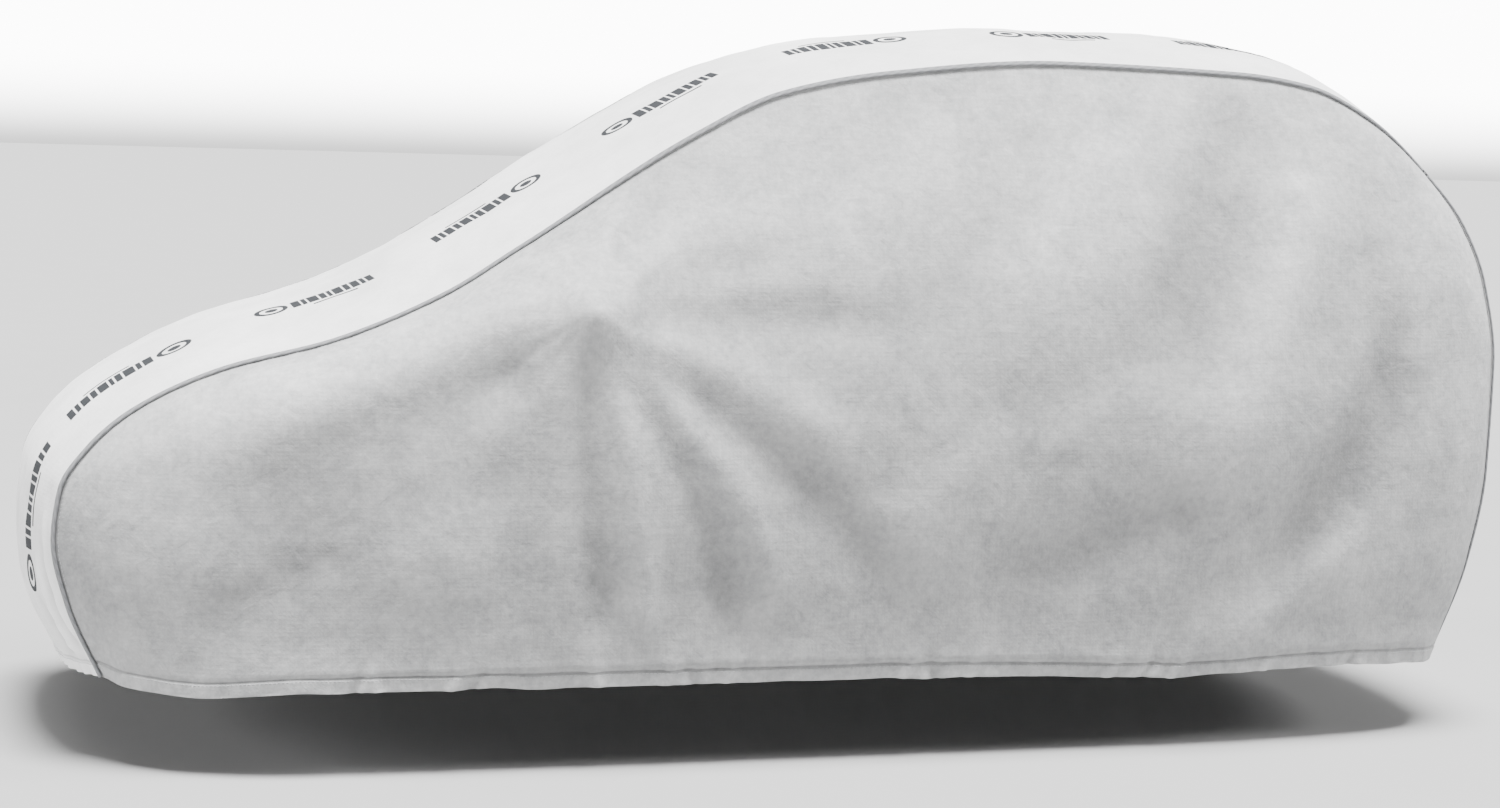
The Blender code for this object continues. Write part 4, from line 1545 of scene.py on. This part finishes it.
        lift = add_node(tree, "ShaderNodeVectorMath", {"operation": "SCALE"}, {
            0: there[1].outputs["Value"], "Scale": split.outputs["Z"]})
        final = add_node(tree, "ShaderNodeVectorMath", {"operation": "ADD"}, {
            0: there[0].outputs["Value"], 1: lift.outputs[0]})
        moved = add_node(tree, "GeometryNodeSetPosition", inputs={
            "Geometry": real.outputs[0], "Position": final.outputs[0]})
        inked = add_node(tree, "GeometryNodeSetMaterial", inputs={
            "Geometry": moved.outputs[0], "Material": given.outputs["Ink"]})
        add_node(tree, "NodeGroupOutput", inputs={"Marks": inked.outputs[0]})
        return tree

    def build(self, cloth: bpy.types.Object, material: bpy.types.Material) -> bpy.types.Object:
        """Print the marks on both halves of the strip.

        Args:
            cloth: the centre panel's object.
            material: the ink.

        Returns:
            The object.
        """
        spots, turns = [], []
        for k, (run, offset) in enumerate(self.places):
            for hand in (-1.0, 1.0):
                spots.append((run, hand * offset, 0.0))
                turns.append(0.0 if (k % 2 == 0) == (hand < 0) else math.pi)
        places = bpy.data.meshes.new("mark_places")
        places.from_pydata(spots, [], [])
        layer = places.attributes.new("turn", "FLOAT", "POINT")
        layer.data.foreach_set("value", turns)
        mark = into_scene("mark_master", self.mark())
        thing = run_nodes("printed_marks", places, self.tree(), {
            "Mark": mark, "Cloth": cloth, "Metres per UV": UV_METRES, "Ink": material})
        bpy.data.objects.remove(mark, do_unlink=True)
        return thing


# ------------------------------------------------------------------ studio


@dataclass(frozen=True)
class SoftLight:
    """One broad distant light: where it shines from, its strength and how soft its edge is."""

    name: str
    toward: tuple[float, float, float]
    strength: float
    spread_deg: float


@dataclass
class Studio:
    """Pale floor, soft lights and the camera."""

    ground: float = 0.0
    floor_size: float = 900.0
    eye: tuple[float, float, float] = (-0.2592, -6.6048, 1.344)
    yaw: float = math.radians(16.9)
    pitch: float = math.radians(-5.1)
    roll: float = math.radians(1.54)
    lens: float = 67.18
    sensor: float = 36.0
    sees_to: float = 1200.0
    light_distance: float = 4.0
    sky_glow: float = 0.26      # strength as a light
    wall: tuple[float, float] = (1.35, 12.0)        # strength as seen, low and high
    wall_rise: tuple[float, float] = (-0.004, 0.030)    # upward share where it brightens
    lights: tuple[SoftLight, ...] = (
        SoftLight("overhead", (0.05, -0.14, 1.0), 12.5, 24.0),
        SoftLight("tail_side", (0.84, -0.16, 0.40), 2.6, 16.0),
        SoftLight("nose_side", (-0.94, -0.02, 0.30), 1.8, 16.0),
    )

    def build(self) -> None:
        """Make the floor, lights, sky and camera."""
        self.make_floor()
        self.make_camera()
        self.make_sky()
        for light in self.lights:
            self.make_light(light)

    def make_floor(self) -> None:
        """A wide pale floor at ground level."""
        half = self.floor_size / 2
        corners = np.array([[-half, -half, 0], [half, -half, 0], [half, half, 0],
                            [-half, half, 0]]) + np.array([0, 0, self.ground])
        mesh = mesh_from("floor", corners, [(0, 1, 2, 3)])
        floor = link_object("floor", mesh, STUDIO_FLOOR.make())

    def make_camera(self) -> None:
        """The camera, at its height, aim, tilt and lens."""
        cy, sy = math.cos(self.yaw), math.sin(self.yaw)
        cp, sp = math.cos(self.pitch), math.sin(self.pitch)
        ahead = np.array([sy * cp, cy * cp, sp])
        right = np.array([cy, -sy, 0.0])
        above = np.cross(right, ahead)
        cr, sr = math.cos(self.roll), math.sin(self.roll)
        right, above = cr * right + sr * above, -sr * right + cr * above
        data = bpy.data.cameras.new("camera")
        data.lens, data.sensor_width = self.lens, self.sensor
        data.clip_end = self.sees_to
        camera = into_scene("camera", data)
        camera.matrix_world = axes_matrix(right, above, -ahead, np.array(self.eye) - ROOF_REST)
        bpy.context.scene.camera = camera

    def make_light(self, soft: SoftLight) -> None:
        """Add one broad distant light.

        Args:
            soft: where it shines from, and how.
        """
        data = bpy.data.lights.new(soft.name, "SUN")
        data.energy, data.angle = soft.strength, math.radians(soft.spread_deg)
        light = into_scene(soft.name, data)
        back = unit(np.array(soft.toward))
        side = unit(np.cross(np.array([0.0, 1.0, 0.0]), back))
        rise = np.cross(back, side)
        light.matrix_world = axes_matrix(side, rise, back, self.light_distance * back)

    def make_sky(self) -> None:
        """A pale sky: dim as a light, and seen as a wall that brightens above the floor."""
        world = bpy.data.worlds.new("studio")
        bpy.context.scene.world = world
        world.use_nodes = True
        tree = world.node_tree
        tree.nodes.clear()
        seen = add_node(tree, "ShaderNodeLightPath")
        place = add_node(tree, "ShaderNodeTexCoord")
        split = add_node(tree, "ShaderNodeSeparateXYZ", inputs={0: place.outputs["Generated"]})
        rise = add_node(tree, "ShaderNodeMapRange", {"interpolation_type": "SMOOTHSTEP"}, {
            "Value": split.outputs["Z"], "From Min": self.wall_rise[0],
            "From Max": self.wall_rise[1], "To Min": self.wall[0], "To Max": self.wall[1]})
        glow = add_node(tree, "ShaderNodeBackground", inputs={
            "Color": (1.0, 1.0, 1.0, 1.0), "Strength": self.sky_glow})
        wall = add_node(tree, "ShaderNodeBackground", inputs={
            "Color": (1.0, 1.0, 1.0, 1.0), "Strength": rise.outputs[0]})
        mix = add_node(tree, "ShaderNodeMixShader", inputs={
            0: seen.outputs["Is Camera Ray"], 1: glow.outputs[0], 2: wall.outputs[0]})
        add_node(tree, "ShaderNodeOutputWorld", inputs={"Surface": mix.outputs[0]})


# ------------------------------------------------------------------ the cover


@dataclass
class CarCover:
    """The whole cover."""

    cutting: Cutting = field(default_factory=Cutting)
    body: str = "root"
    seam_stitch: float = 8.5 * MM   # distance of the stitches from the seam
    hem_stitch: float = 3.0 * MM    # and from the upper edge of the turned hem

    def build(self) -> None:
        """Build, dress and declare every piece."""
        centre_cloth, side_cloth = CENTRE_CLOTH.make(), SIDE_CLOTH.make()
        tape, thread, ink = BINDING_TAPE.make(), SEWING_THREAD.make(), PRINTING_INK.make()
        centre, strip = CentrePanel(self.cutting).build(centre_cloth)
        panels = {side: SidePanel(self.cutting, seed=seed).build(side, side_cloth)
                  for side, seed in ((Side.LEFT, 11), (Side.RIGHT, 41))}
        binding = SeamBinding(self.cutting)
        frames = binding.frames(panels[Side.LEFT][1], strip["grid"])
        tapes = {side: binding.build(side, frames, tape) for side in Side}
        rows = StitchRows()
        tree = rows.tree()
        strip_stitches = rows.build("centre_stitches", self.strip_lines(strip), tree, thread)
        side_stitches = {side: rows.build(f"{side.word}_stitches",
                                          self.side_lines(grid, normal), tree, thread)
                         for side, (_, grid, normal) in panels.items()}
        marks = PrintedMarks().build(centre, ink)
        self.declare(centre, ["centre_panel"])
        self.declare(strip_stitches, [])
        self.declare(marks, [])
        for side in Side:
            self.declare(panels[side][0], [f"side_panel_{side.word}"])
            self.declare(tapes[side], [f"piping_{side.word}"])
            self.declare(side_stitches[side], [])

    def declare(self, piece: bpy.types.Object, nodes: Sequence[str]) -> None:
        """Ride a piece on the body and say what it replaces.

        Args:
            piece: the finished piece.
            nodes: the solid's nodes that it stands in for.
        """
        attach(piece, self.body)
        if nodes:
            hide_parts(*nodes)
        faces = len(piece.data.polygons)
        LOG.info("%s: %d faces, for %s", piece.name, faces, ", ".join(nodes) or "no node")

    def strip_lines(self, strip: dict[str, Any]) -> list[tuple[np.ndarray, np.ndarray]]:
        """Stitch rows of the centre panel: beside both seams and across both hems.

        Args:
            strip: the panel's grid, normals and runs.

        Returns:
            Points and outward normals of each row.
        """
        grid, normal, runs = strip["grid"], strip["normal"], strip["runs"]
        lines = [(self.between(grid, c, self.seam_stitch), normal[:, c]) for c in (0, -1)]
        stitched = self.cutting.hem_band - self.hem_stitch
        for station in (stitched, self.cutting.seam.end - stitched):
            k = int(np.argmin(np.abs(runs - station)))
            lines.append((grid[k], normal[k]))
        return lines

    @staticmethod
    def between(grid: np.ndarray, column: int, inset: float) -> np.ndarray:
        """Points a little way in from one edge column of a grid.

        Args:
            grid: the panel's points.
            column: 0 for the first column, -1 for the last.
            inset: how far in.

        Returns:
            One point for each row.
        """
        inner = grid[:, 1] if column == 0 else grid[:, -2]
        step = inner - grid[:, column]
        size = np.linalg.norm(step, axis=1, keepdims=True)
        return grid[:, column] + step * np.minimum(inset / size, 1.0)

    def side_lines(self, grid: np.ndarray, normal: np.ndarray
                   ) -> list[tuple[np.ndarray, np.ndarray]]:
        """Stitch rows of a side panel: inside its seam and above its hem.

        Args:
            grid: the panel's points.
            normal: its outward normals.

        Returns:
            Points and outward normals of each row.
        """
        top = np.concatenate([grid[::-1, 1], grid[1, 2:-2], grid[:, -2]])
        top_normal = np.concatenate([normal[::-1, 1], normal[1, 2:-2], normal[:, -2]])
        cells = self.cutting.hem_cells
        share = (self.cutting.hem_band - self.hem_stitch) / self.cutting.hem_reach
        row = -1 - int(round(share * cells))
        return [(top[2:-2], top_normal[2:-2]), (grid[row], normal[row])]


def main() -> None:
    """Load the frame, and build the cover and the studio."""
    logging.basicConfig(level=logging.INFO, format="%(name)s %(message)s")
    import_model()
    CarCover().build()
    Studio().build()


if __name__ == "__main__":
    main()
